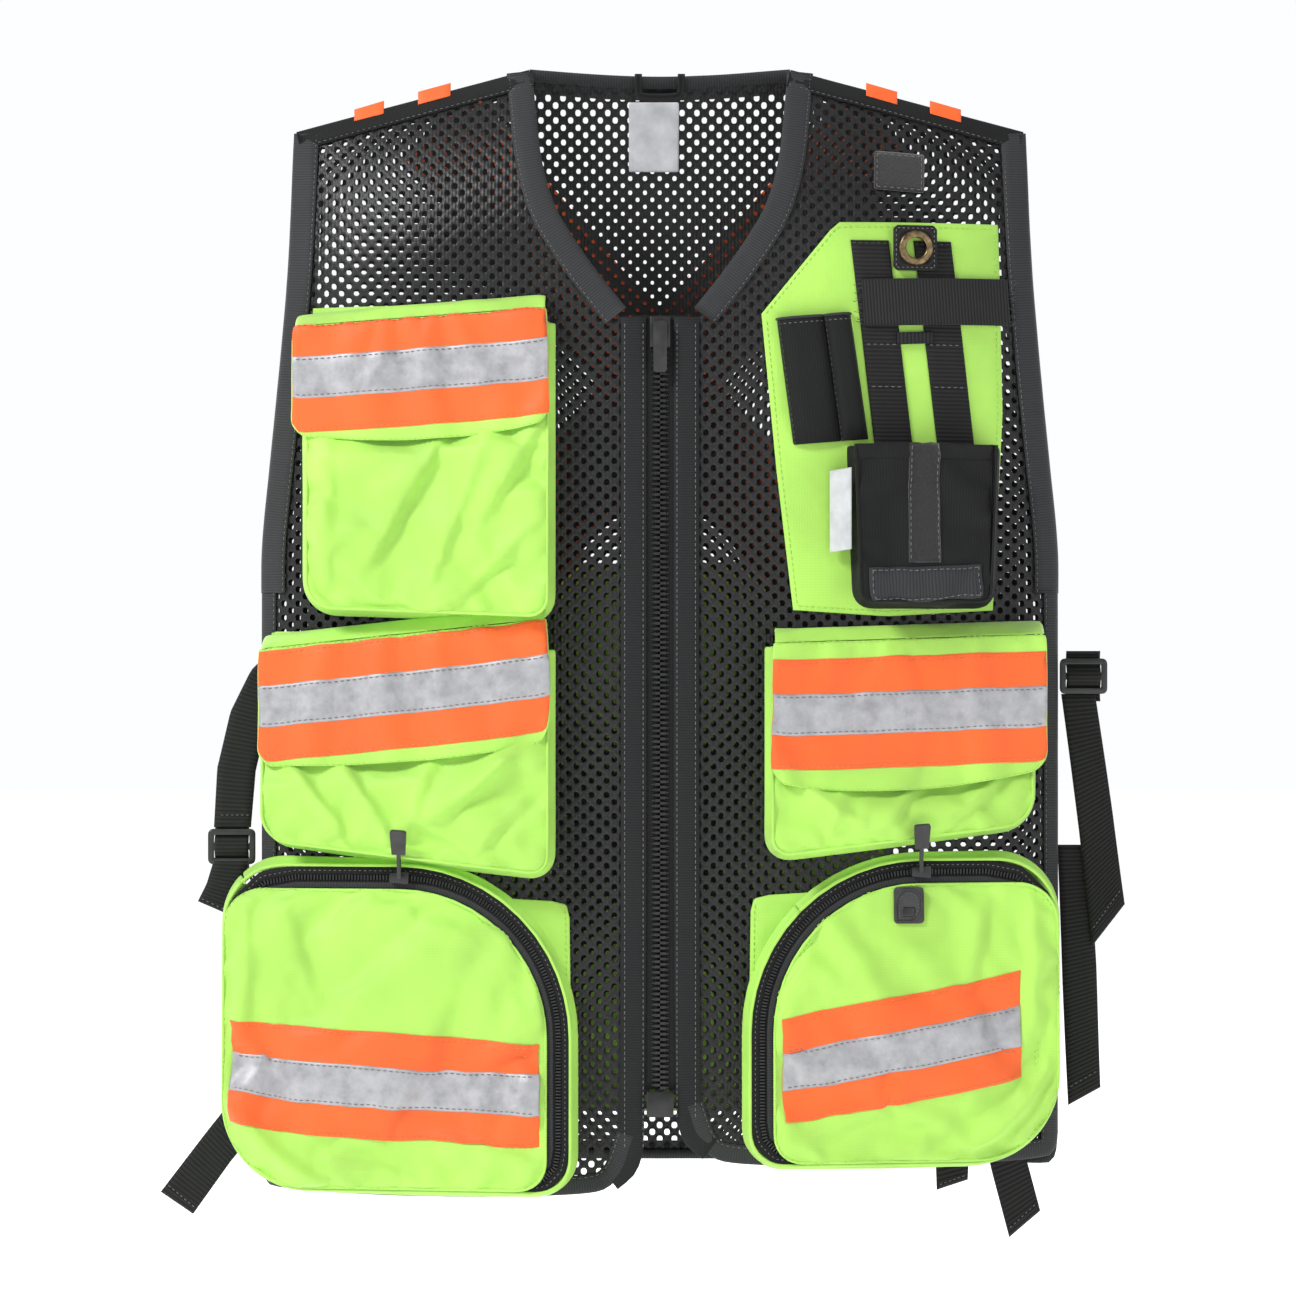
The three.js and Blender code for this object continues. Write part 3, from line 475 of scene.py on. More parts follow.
# ---------------------------------------------------------------- mesh making
def finish_mesh(name, verts, faces, material, body, node=None, uvs=None, smooth=True):
    """Makes the object, in metres, rides it on its body and hides the node it stands for."""
    mesh = bpy.data.meshes.new(name)
    mesh.from_pydata((np.asarray(verts) * MM).tolist(), [], [tuple(map(int, f)) for f in faces])
    if uvs is not None:
        layer = mesh.uv_layers.new(name="UVMap")
        corner_vertex = np.empty(len(mesh.loops), dtype=np.int32)
        mesh.loops.foreach_get("vertex_index", corner_vertex)
        layer.data.foreach_set("uv", (np.asarray(uvs)[corner_vertex] * MM).ravel())
    mesh.materials.append(MATERIALS[material])
    mesh.polygons.foreach_set("use_smooth", [smooth] * len(mesh.polygons))
    mesh.update()
    piece = bpy.data.objects.new(name, mesh)
    bpy.context.scene.collection.objects.link(piece)
    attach(piece, body)
    if node:
        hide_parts(*([node] if isinstance(node, str) else node))
    return piece


def grid_faces(rows, columns, start=0, flip=False):
    index = np.arange(rows * columns).reshape(rows, columns) + start
    a, b = index[:-1, :-1].ravel(), index[:-1, 1:].ravel()
    c, d = index[1:, 1:].ravel(), index[1:, :-1].ravel()
    quads = np.stack([a, b, c, d], axis=1)
    return quads[:, ::-1] if flip else quads


def rim_faces(rows, columns, start_a, start_b, flip=False):
    """Quads that join the edges of two equal grids."""
    index = np.arange(rows * columns).reshape(rows, columns)
    loop = np.concatenate([index[0, :-1], index[:-1, -1], index[-1, :0:-1], index[:0:-1, 0]])
    after = np.roll(loop, -1)
    quads = np.stack([loop + start_a, loop + start_b, after + start_b, after + start_a], axis=1)
    return quads[:, ::-1] if flip else quads


def shell(name, top, bottom, material, body, node=None, size=(1, 1), soft=0):
    """A closed solid between two grids of points, with rounded long edges."""
    rows, columns = top.shape[:2]
    count = rows * columns
    verts = np.concatenate([top.reshape(-1, 3), bottom.reshape(-1, 3)])
    across = np.cross(top[0, -1] - top[0, 0], top[-1, 0] - top[0, 0])
    outward = (top - bottom).reshape(-1, 3).mean(axis=0)
    flip = float(np.dot(across, outward)) < 0
    faces = np.concatenate([
        grid_faces(rows, columns, 0, flip), grid_faces(rows, columns, count, not flip),
        rim_faces(rows, columns, 0, count, flip)])
    u, v = np.meshgrid(np.linspace(0, size[0], columns), np.linspace(0, size[1], rows))
    uv = np.stack([u.ravel(), v.ravel()], axis=1)
    piece = finish_mesh(name, verts, faces, material, body, node, np.concatenate([uv, uv]))
    if soft:
        piece.modifiers.new("round", "SUBSURF").levels = soft
        piece.modifiers["round"].render_levels = soft
    return piece


def coons(bottom, right, top, left, u, v):
    """Points inside four edges. Each edge is a function from 0 to 1 to (x, z)."""
    u, v = u[..., None], v[..., None]
    sides = (1 - v) * bottom(u[..., 0]) + v * top(u[..., 0])
    ends = (1 - u) * left(v[..., 0]) + u * right(v[..., 0])
    c00, c10, c01, c11 = bottom(0.0), bottom(1.0), top(0.0), top(1.0)
    corners = (1 - u) * (1 - v) * c00 + u * (1 - v) * c10 + (1 - u) * v * c01 + u * v * c11
    return sides + ends - corners


def run(points):
    """A function from 0 to 1 along a line of points, by its length."""
    points = np.asarray(points, float)
    steps = np.linalg.norm(np.diff(points, axis=0), axis=1)
    length = np.concatenate([[0], np.cumsum(steps)])
    length /= length[-1]

    def at(t):
        t = np.asarray(t, float)
        return np.stack([np.interp(t, length, points[:, k]) for k in range(points.shape[1])], -1)
    return at


def rounded_sides(corners):
    """Bottom, right, top and left edges of a four-cornered outline [(x, z, radius)],
    listed from the bottom left, anticlockwise. Each round corner is shared by two edges."""
    corners = [np.asarray(c[:2], float) for c in corners], [c[2] if len(c) > 2 else 0 for c in corners]
    places, radii = corners
    arcs = []
    for i in range(4):
        here, before, after = places[i], places[i - 1], places[(i + 1) % 4]
        r = radii[i]
        start = here + (before - here) / np.linalg.norm(before - here) * r
        end = here + (after - here) / np.linalg.norm(after - here) * r
        t = np.linspace(0, 1, 13)[:, None]
        a, b, c = (1 - t) ** 2, 1.4142 * t * (1 - t), t ** 2
        arcs.append((a * start + b * here + c * end) / (a + b + c) if r else
                    np.repeat(here[None], 13, 0))
    edges = [np.concatenate([arcs[i][6:], arcs[(i + 1) % 4][:7]]) for i in range(4)]
    bottom, right, top, left = edges
    return run(bottom), run(right), run(top[::-1]), run(left[::-1])


def edge_spacing(width, step, edge=1.0):
    """Even steps with one close row along each edge, so that the edge can be rounded."""
    count = max(3, int(round(width / step)))
    inner = np.linspace(edge / width, 1 - edge / width, count)
    return np.concatenate([[0], inner, [1]])


def patch(name, corners, face, offset, thick, material, body="root", node=None, step=6.0,
          bend=None, soft=0):
    """A thin layer with a four-cornered outline, lying on a surface. The corners may be
    the four edge functions themselves."""
    sides = corners if callable(corners[0]) else rounded_sides(corners)
    width = np.linalg.norm(np.diff(sides[0](np.linspace(0, 1, 9)), axis=0), axis=1).sum()
    height = np.linalg.norm(np.diff(sides[1](np.linspace(0, 1, 9)), axis=0), axis=1).sum()
    us = edge_spacing(width, step)
    vs = edge_spacing(height, step)
    u, v = np.meshgrid(us, vs)
    flat = coons(*sides, u, v)
    x, z = flat[..., 0], flat[..., 1]
    extra = bend(u, v, x, z) if bend else 0.0
    pillow = np.ones_like(u)
    pillow[[0, -1], :] = 0.45
    pillow[:, [0, -1]] = 0.45
    top = face.at(x, z, offset + thick * pillow + extra)
    bottom = face.at(x, z, offset + extra)
    return shell(name, top, bottom, material, body, node, (width, height), soft)


# ---------------------------------------------------------------- stitches
STITCHES = {}


def stitch(body, thread, path, out=None, length=2.6, gap=1.5, lift=0.35, width=0.55):
    """Queues a row of stitches along a line of points in mm."""
    points = np.asarray(path, float)
    along = run(points)
    steps = np.linalg.norm(np.diff(points, axis=0), axis=1).sum()
    count = max(2, int(steps / (length + gap)))
    starts = (np.arange(count) + 0.15) / count
    ends = starts + length / steps
    a, b = along(starts), along(np.minimum(ends, 1))
    out = np.asarray(out if out is not None else (0, -1, 0), float)
    STITCHES.setdefault((body, thread), []).append((a + out * lift, b + out * lift, out, width))


def sew():
    """Turns the queued rows into one mesh for each body and thread."""
    for (body, thread), rows in STITCHES.items():
        verts, faces, start = [], [], 0
        for a, b, out, width in rows:
            along = b - a
            along /= np.maximum(np.linalg.norm(along, axis=1, keepdims=True), 1e-6)
            side = np.cross(along, out) * width / 2
            up = np.asarray(out) * width / 2
            ring = []
            for end, inset in ((a, 0.0), (a, 0.5), (b, -0.5), (b, 0.0)):
                centre = end + along * inset
                k = 0.35 if inset == 0.0 else 1.0
                drop = -up * 0.8 if inset == 0.0 else 0
                ring.append(np.stack([centre + side * k + drop, centre + up * k + drop,
                                      centre - side * k + drop, centre - up * k + drop], axis=1))
            block = np.stack(ring, axis=1).reshape(-1, 3)
            verts.append(block)
            pattern = []
            for r in range(3):
                for k in range(4):
                    n = (k + 1) % 4
                    pattern.append([r * 4 + k, r * 4 + n, r * 4 + 4 + n, r * 4 + 4 + k])
            pattern += [[3, 2, 1, 0], [12, 13, 14, 15]]
            shifts = np.arange(len(a))[:, None, None] * 16 + start
            faces.append((np.asarray(pattern)[None] + shifts).reshape(-1, 4))
            start += len(block)
        finish_mesh(f"stitches_{thread}_{body}", np.concatenate(verts), np.concatenate(faces),
                    thread, body)


def stitch_patch(corners, face, offset, body="root", thread="thread_black", inset=2.0, sides="brtl"):
    """Stitches just inside the named edges of a patch."""
    edges = corners if callable(corners[0]) else rounded_sides(corners)
    centre = np.mean([edge(0.5) for edge in edges], axis=0)
    for letter, edge in zip("brtl", edges):
        if letter not in sides:
            continue
        line = edge(np.linspace(0.02, 0.98, 40))
        pull = centre - line
        if letter in "bt":
            line = line + np.sign(pull[:, 1:2]) * np.array([[0, inset]])
        else:
            line = line + np.sign(pull[:, 0:1]) * np.array([[inset, 0]])
        stitch(body, thread, face.at(line[:, 0], line[:, 1], offset), (0, face.out, 0))


# ---------------------------------------------------------------- cloth
class Sheet(Grid):
    """A cloth with its cut, so that tapes and stitches can be laid on it by (x, z)."""

    def __init__(self, sides, points, out=-1):
        super().__init__(points)
        if out > 0:
            self.normals = -self.normals
        self.sides = sides
        self.out = out

    def at(self, x, z, offset):
        target = np.stack([x, z], -1)
        corners = [side(t) for side in self.sides[:1] for t in (0.0, 1.0)]
        low, high = corners[0][0], corners[1][0]
        foot, head = self.sides[0](0.5)[1], self.sides[2](0.5)[1]
        u = np.clip((np.asarray(x, float) - low) / (high - low), 0, 1)
        v = np.clip((np.asarray(z, float) - foot) / (head - foot), 0, 1)
        d = 1e-3
        for _ in range(10):
            here = coons(*self.sides, u, v)
            gu = (coons(*self.sides, u + d, v) - here) / d
            gv = (coons(*self.sides, u, v + d) - here) / d
            miss = target - here
            det = gu[..., 0] * gv[..., 1] - gu[..., 1] * gv[..., 0]
            det = np.where(np.abs(det) < 1e-6, 1e-6, det)
            u = np.clip(u + (miss[..., 0] * gv[..., 1] - miss[..., 1] * gv[..., 0]) / det, 0, 1 - d)
            v = np.clip(v + (gu[..., 0] * miss[..., 1] - gu[..., 1] * miss[..., 0]) / det, 0, 1 - d)
        return self.sample(u, v, offset)


def crumple(points, pinned, grow=0.05, frames=24, seed=1, gravity=0.0, bending=0.12):
    """Lets cloth that is cut a little too large settle between its seams."""
    rows, columns = points.shape[:2]
    start = points.copy()
    noise = value_noise(points[..., 0], points[..., 2], 17, seed)
    start[..., 1] += noise * 0.9 * (1 - pinned)
    scale = 0.01
    mesh = bpy.data.meshes.new("cut")
    mesh.from_pydata((start.reshape(-1, 3) * scale).tolist(), [], grid_faces(rows, columns).tolist())
    cut = bpy.data.objects.new("cut", mesh)
    bpy.context.scene.collection.objects.link(cut)
    group = cut.vertex_groups.new(name="pin")
    for index, weight in enumerate(pinned.ravel()):
        if weight > 0:
            group.add([index], float(weight), "REPLACE")
    cloth = cut.modifiers.new("cloth", "CLOTH")
    settings = cloth.settings
    settings.quality = 6
    settings.mass = 0.15
    settings.tension_stiffness = 18
    settings.compression_stiffness = 18
    settings.shear_stiffness = 8
    settings.bending_stiffness = bending
    settings.tension_damping = 8
    settings.air_damping = 3
    settings.vertex_group_mass = "pin"
    settings.shrink_min = -grow
    settings.effector_weights.gravity = gravity
    cloth.collision_settings.use_collision = False
    cloth.collision_settings.use_self_collision = False
    cloth.point_cache.frame_start = 1
    cloth.point_cache.frame_end = frames
    scene = bpy.context.scene
    for frame_number in range(1, frames + 1):
        scene.frame_set(frame_number)
    settled = cut.evaluated_get(bpy.context.evaluated_depsgraph_get())
    out = np.empty(rows * columns * 3, dtype=np.float32)
    settled.data.vertices.foreach_get("co", out)
    bpy.data.objects.remove(cut)
    scene.frame_set(1)
    return out.reshape(rows, columns, 3).astype(float) / scale


def crease(u, v, folds):
    """Long soft creases. Each is (u0, v0, u1, v1, height, width) with the width in u."""
    total = np.zeros_like(u)
    for u0, v0, u1, v1, height, width in folds:
        along = np.array([u1 - u0, v1 - v0])
        t = ((u - u0) * along[0] + (v - v0) * along[1]) / (along @ along)
        away = ((u - u0) * along[1] - (v - v0) * along[0]) / np.linalg.norm(along)
        ends = np.sin(np.pi * np.clip(t, 0, 1)) ** 0.6
        side = np.where(away > 0, 1.0, 0.45)
        total += height * ends * np.exp(-np.abs(away / (width * side)) ** 1.5)
    return total


def held_within(points, rest, outward, inward):
    """Keeps the folds between the layers in front and behind."""
    moved = points - rest
    moved[..., 1] = np.clip(moved[..., 1], -outward, inward)
    moved[..., 0] = np.clip(moved[..., 0], -3, 3)
    moved[..., 2] = np.clip(moved[..., 2], -4, 4)
    return rest + moved


def quad(sign, *corners):
    """The corners (|x|, z, radius) given as inner bottom, outer bottom, outer top, inner top."""
    turned = [(sign * c[0], *c[1:]) for c in corners]
    if sign < 0:
        a, b, c, d = turned
        turned = [b, a, d, c]
    return turned


def with_sag(sides, sag):
    bottom, right, top, left = sides

    def lower(t):
        drop = 4 * np.asarray(t, float) * (1 - np.asarray(t, float)) * sag
        return bottom(t) - np.stack([np.zeros_like(drop), drop], -1)
    return lower, right, top, left


def spread(sides, step):
    width = np.linalg.norm(np.diff(sides[0](np.linspace(0, 1, 9)), axis=0), axis=1).sum()
    height = np.linalg.norm(np.diff(sides[1](np.linspace(0, 1, 9)), axis=0), axis=1).sum()
    u, v = np.meshgrid(edge_spacing(width, step), edge_spacing(height, step))
    return u, v, width, height


def thicken(name, sheet, thick, material, body, node, size):
    pillow = np.ones(sheet.points.shape[:2])
    pillow[[0, -1], :] = 0.3
    pillow[:, [0, -1]] = 0.3
    top = sheet.points + sheet.normals * (pillow * thick / 2)[..., None]
    bottom = sheet.points - sheet.normals * (pillow * thick / 2)[..., None]
    return shell(name, top, bottom, material, body, node, size, 1)


def ridge(name, points, radius, material, body):
    """A rounded seam or cord along a line of points."""
    points = np.asarray(points, float)
    along = np.gradient(points, axis=0)
    along /= np.maximum(np.linalg.norm(along, axis=1, keepdims=True), 1e-9)
    side = np.cross(along, (0, 1, 0))
    side /= np.maximum(np.linalg.norm(side, axis=1, keepdims=True), 1e-9)
    up = np.cross(side, along)
    angles = np.arange(8) / 8 * 2 * np.pi
    ring = (points[:, None] + radius * (side[:, None] * np.cos(angles)[None, :, None]
            + up[:, None] * np.sin(angles)[None, :, None]))
    count = len(points)
    faces = []
    for i in range(count - 1):
        for k in range(8):
            n = (k + 1) % 8
            faces.append((i * 8 + k, i * 8 + n, (i + 1) * 8 + n, (i + 1) * 8 + k))
    faces += [tuple(range(7, -1, -1)), tuple(range((count - 1) * 8, count * 8))]
    steps = np.concatenate([[0], np.cumsum(np.linalg.norm(np.diff(points, axis=0), axis=1))])
    uv = np.stack([np.tile(angles * radius, count), np.repeat(steps, 8)], 1)
    return finish_mesh(name, ring.reshape(-1, 3), faces, material, body, None, uv)


def gusset(name, path, front_edge, base, material, body, thick=1.2, pleat=6.0, seed=2, rows=9,
           flare=5.0, node=None):
    """The folded wall between a pocket's front seam and the panel behind it."""
    path = np.asarray(path, float)
    along = np.gradient(path, axis=0)
    along /= np.maximum(np.linalg.norm(along, axis=1, keepdims=True), 1e-9)
    inward = np.stack([-along[:, 1], along[:, 0]], 1)
    depth = np.linspace(0, 1, rows)[:, None]
    base_y = base(path[:, 0], path[:, 1])
    steps = np.concatenate([[0], np.cumsum(np.linalg.norm(np.diff(path, axis=0), axis=1))])
    wobble = value_noise(steps[None, :], depth * 40, 26, seed)
    small = value_noise(steps[None, :] + 31, depth * 60, 11, seed + 5)
    fold = np.sin(np.pi * depth) * (pleat * (0.75 + 0.5 * wobble)) + small * 1.2 * np.sin(np.pi * depth)
    fold = fold - flare * depth
    x = path[:, 0] + inward[:, 0] * fold
    z = path[:, 1] + inward[:, 1] * fold
    y = front_edge[None, :] * (1 - depth) + base_y[None, :] * depth
    points = np.stack([x, y, z], -1)
    du = np.gradient(points, axis=1)
    dv = np.gradient(points, axis=0)
    normal = np.cross(du, dv)
    normal /= np.maximum(np.linalg.norm(normal, axis=-1, keepdims=True), 1e-9)
    return shell(name, points + normal * thick / 2, points - normal * thick / 2, material, body,
                 node, (steps[-1], 20), 1)


def band(name, path, inner, outer, face, offset, thick, material, body="root", node=None, edge=0.5,
         step=5.0):
    """A flat strip beside a line on a surface, from inner to outer mm to its left."""
    path = run(np.asarray(path, float))
    fine = path(np.linspace(0, 1, 400))
    length = np.linalg.norm(np.diff(fine, axis=0), axis=1).sum()
    t = np.linspace(0, 1, max(6, int(length / step)))
    line = path(t)
    ahead, behind = path(np.minimum(t + 0.01, 1)), path(np.maximum(t - 0.01, 0))
    along = ahead - behind
    along /= np.linalg.norm(along, axis=1, keepdims=True)
    left = np.stack([-along[:, 1], along[:, 0]], 1)
    across = np.array([inner, inner + edge, inner + (outer - inner) * 0.33,
                       inner + (outer - inner) * 0.67, outer - edge, outer])
    lift = np.array([0.45, 1, 1, 1, 1, 0.45])
    flat = line[None] + left[None] * across[:, None, None]
    x, z = flat[..., 0], flat[..., 1]
    top = face.at(x, z, offset + thick * lift[:, None] * np.ones_like(x))
    bottom = face.at(x, z, offset * np.ones_like(x))
    return shell(name, top, bottom, material, body, node, (length, abs(outer - inner)))


def wrap(name, path, width, face, material, node=None, reach=1.9, body="root", height=3.9):
    """A binding folded over a panel's edge. The panel lies to the left of the path."""
    path = run(np.asarray(path, float))
    fine = path(np.linspace(0, 1, 600))
    length = np.linalg.norm(np.diff(fine, axis=0), axis=1).sum()
    t = np.linspace(0, 1, max(8, int(length / 5)))
    line = path(t)
    along = path(np.minimum(t + 0.02, 1)) - path(np.maximum(t - 0.02, 0))
    along /= np.linalg.norm(along, axis=1, keepdims=True)
    left = np.stack([-along[:, 1], along[:, 0]], 1)
    section = [(width, height - 1.3), (width - 0.6, height - 0.3), (width * 0.6, height),
               (width * 0.2, height), (0, height - 0.2), (-reach * 0.8, height - 1.2),
               (-reach, height * 0.4), (-reach * 0.8, 0.2), (0, -0.5), (width * 0.45, -0.5),
               (width * 0.45, 0.5), (0.5, 0.6), (0.2, height - 1.4), (width * 0.5, height - 1.6)]
    verts, count, ring = [], len(t), len(section)
    for across, offset in section:
        flat = line + left * across
        wobble = value_noise(flat[:, 0], flat[:, 1], 13, 4) * 0.35
        verts.append(face.at(flat[:, 0], flat[:, 1], offset + wobble))
    verts = np.stack(verts, 1).reshape(-1, 3)
    faces = []
    for i in range(count - 1):
        for k in range(ring):
            n = (k + 1) % ring
            faces.append((i * ring + k, i * ring + n, (i + 1) * ring + n, (i + 1) * ring + k))
    faces += [tuple(range(ring)), tuple(range(count * ring - 1, (count - 1) * ring - 1, -1))]
    uv = np.stack([np.repeat(t * length, ring), np.tile([a for a, _ in section], count)], 1)
    middle = line + left * (width - 1.8)
    stitch(body, "thread_grey", face.at(middle[:, 0], middle[:, 1], np.full(count, height - 0.2)),
           (0, face.out, 0), 2.2, 1.6, 0.1, 0.4)
    return finish_mesh(name, verts, faces, material, body, node, uv)


# ---------------------------------------------------------------- the net panels
def inside_by(points, polygon):
    """How far each point is inside a closed polygon, negative outside."""
    polygon = np.asarray(polygon, float)
    after = np.roll(polygon, -1, 0)
    x, z = points[:, 0:1], points[:, 1:2]
    edge = after - polygon
    t = ((x - polygon[:, 0]) * edge[:, 0] + (z - polygon[:, 1]) * edge[:, 1])
    t = np.clip(t / np.maximum((edge ** 2).sum(1), 1e-9), 0, 1)
    away = np.hypot(x - polygon[:, 0] - t * edge[:, 0], z - polygon[:, 1] - t * edge[:, 1]).min(1)
    crosses = (polygon[:, 1] > z) != (after[:, 1] > z)
    at = polygon[:, 0] + (z - polygon[:, 1]) * edge[:, 0] / np.where(edge[:, 1] == 0, 1e-9, edge[:, 1])
    within = (crosses & (x < at)).sum(1) % 2 == 1
    return np.where(within, away, -away)


def full_holes(x, z):
    return np.ones(len(x))


def shade_at_neck(x, z):
    """Smaller holes in the back below the neck, only to give that area its darker tone: painted shade, more
    black net where there is only the shade that falls there.
    """
    across = np.exp(-(x / 98) ** 6)
    down = np.clip((-z - 15) / 85, 0, 1)
    below = np.clip((z + 205) / 30, 0, 1)
    return 1 - 0.40 * across * down * below


def net(name, polygon, face, node, opening=full_holes):
    """Knitted mesh with staggered oval holes, as real openings."""
    wide, tall = 5.05, 4.7
    polygon = np.asarray(polygon, float)
    i0, i1 = int(polygon[:, 0].min() / wide) - 1, int(polygon[:, 0].max() / wide) + 2
    k0, k1 = int(polygon[:, 1].min() / tall) - 1, int(polygon[:, 1].max() / tall) + 2
    i, k = np.meshgrid(np.arange(i0, i1), np.arange(k0, k1))
    even = (i + k) % 2 == 0
    cells = np.stack([i[even], k[even]], 1)
    keep = inside_by(cells * [wide, tall], polygon) > 4.2
    cells = cells[keep]
    corner_ids, corners = {}, []
    around = [(1, 0), (0, 1), (-1, 0), (0, -1)]
    angles = np.radians([-24, 24, 62, 118, 156, 204, 242, 298])
    hole = np.stack([2.05 * np.cos(angles), 2.35 * np.sin(angles)], 1)
    faces, ring_start = [], []
    for cell in cells.tolist():
        ids = []
        for di, dk in around:
            key = (cell[0] + di, cell[1] + dk)
            if key not in corner_ids:
                corner_ids[key] = len(corners)
                corners.append(key)
            ids.append(corner_ids[key])
        ring_start.append(ids)
    total = len(corners)
    flat = np.array(corners) * [wide, tall]
    centres = cells * [wide, tall]
    scale = opening(centres[:, 0], centres[:, 1])
    rings = (centres[:, None] + hole[None] * scale[:, None, None]).reshape(-1, 2)
    for n, ids in enumerate(ring_start):
        h = total + n * 8
        for c in range(4):
            near, far = h + 2 * c, h + 2 * c + 1
            following = h + (2 * c + 2) % 8
            faces.append((ids[c], far, near))
            faces.append((ids[c], ids[(c + 1) % 4], following, far))
    places = np.concatenate([flat, rings])
    lift = np.concatenate([np.full(total, 1.6), np.full(len(rings), 1.1)])
    verts = face.at(places[:, 0], places[:, 1], lift)
    piece = finish_mesh(name, verts, faces, "mesh", "root", node)
    return piece


# ---------------------------------------------------------------- the vest
SIDES = (("right", -1), ("left", 1))


def mirrored(points, sign):
    return [(sign * p[0], *p[1:]) for p in points]


def as_path(points, sign, smooth=3):
    """A line of points with its corners eased."""
    path = np.array(mirrored(points, sign), float)
    for _ in range(smooth):
        middle = np.empty((2 * len(path) - 2, path.shape[1]))
        middle[0::2] = 0.75 * path[:-1] + 0.25 * path[1:]
        middle[1::2] = 0.25 * path[:-1] + 0.75 * path[1:]
        path = np.concatenate([path[:1], middle, path[-1:]])
    return path


def cut_size(polygon, face):
    """A panel's flat width and length and its flat area, measured over its curve, in metres."""
    polygon = np.asarray(polygon, float)
    low, high = polygon.min(0), polygon.max(0)
    step = 3.0
    x, z = np.meshgrid(np.arange(low[0], high[0], step), np.arange(low[1], high[1], step))
    inside = inside_by(np.stack([x.ravel(), z.ravel()], 1), polygon).reshape(x.shape) > 0
    down, across = np.gradient(face.y(x, z), step)
    area = (np.sqrt(1 + across ** 2 + down ** 2) * inside).sum() * step ** 2
    width = np.sqrt(1 + across ** 2).sum(1).max() * step
    length = np.sqrt(1 + down ** 2).sum(0).max() * step
    return (width * MM, length * MM), area * MM * MM


def make_panels():
    for word, sign in SIDES:
        hem = HEM_RIGHT_Z if sign < 0 else HEM_LEFT_Z
        outline = [(18.6, -163), *NECKLINE, *ARMHOLE, (SIDE_X, hem + 6), (SIDE_X - 8, hem),
                   (52, hem), (34, hem + 8), (18.6, hem + 34)]
        panel = net(f"net_front_{word}", mirrored(outline, sign), FRONT, f"front_panel_{word}")
        flat, area = cut_size(mirrored(outline, sign), FRONT)
        make_bindings(word, sign, hem)
    back = [(NECK_HALF, NECK_Z), *ARMHOLE, (SIDE_X, HEM_BACK_Z + 6), (SIDE_X - 8, HEM_BACK_Z)]
    outline = back + mirrored(back, -1)[::-1] + [(0, -3)]
    # Below the neck the back's holes are made smaller as painted shade.
    panel = net("net_back", outline, BACK, "back_panel", shade_at_neck)
    flat, area = cut_size(outline, BACK)


def left_of(path, toward):
    """The path, turned so that the point `toward` is on its left."""
    path = np.asarray(path, float)
    middle = (len(path) - 1) // 2
    a, b = path[middle], path[middle + 1]
    cross = (b[0] - a[0]) * (toward[1] - a[1]) - (b[1] - a[1]) * (toward[0] - a[0])
    return path if cross > 0 else path[::-1]


def make_bindings(word, sign, hem):
    centre = (sign * 150, -300)
    arm = left_of(as_path(ARMHOLE, sign), centre)
    wrap(f"armhole_front_{word}", arm, 15.5, FRONT, "binding", f"armhole_binding_{word}")
    wrap(f"armhole_back_{word}", arm, 15.5, BACK, "binding")
    neck = left_of(as_path([*NECKLINE, (NECK_HALF, NECK_Z)], sign), centre)
    wrap(f"neck_front_{word}", neck, 15.5, FRONT, "binding", "neck_binding" if sign < 0 else None)
    bottom = as_path([(SIDE_X, hem + 30), (SIDE_X, hem + 3), (SIDE_X - 10, hem - 1), (50, hem - 1),
                      (28, hem + 8), (18, hem + 38)], sign)
    wrap(f"hem_front_{word}", left_of(bottom, (sign * 150, -500)), 11, FRONT, "binding", None, 1.5)
    side = as_path([(SIDE_X, -345), (SIDE_X, hem + 20)], sign)
    side = left_of(side, (0, -500))
    wrap(f"side_front_{word}", side, 9, FRONT, "binding", None, 1.5, height=3.2)
    wrap(f"side_back_{word}", side, 9, BACK, "binding", None, 1.5, height=3.2)
    shoulder = left_of(np.array(mirrored([(NECK_HALF, NECK_Z), (TIP_HALF, TIP_Z)], sign), float),
                       (sign * 150, -300))
    wrap(f"shoulder_front_{word}", shoulder, 12, FRONT, "cloth_black", None, 1.2)
    wrap(f"shoulder_back_{word}", shoulder, 12, BACK, "cloth_black", None, 1.2)


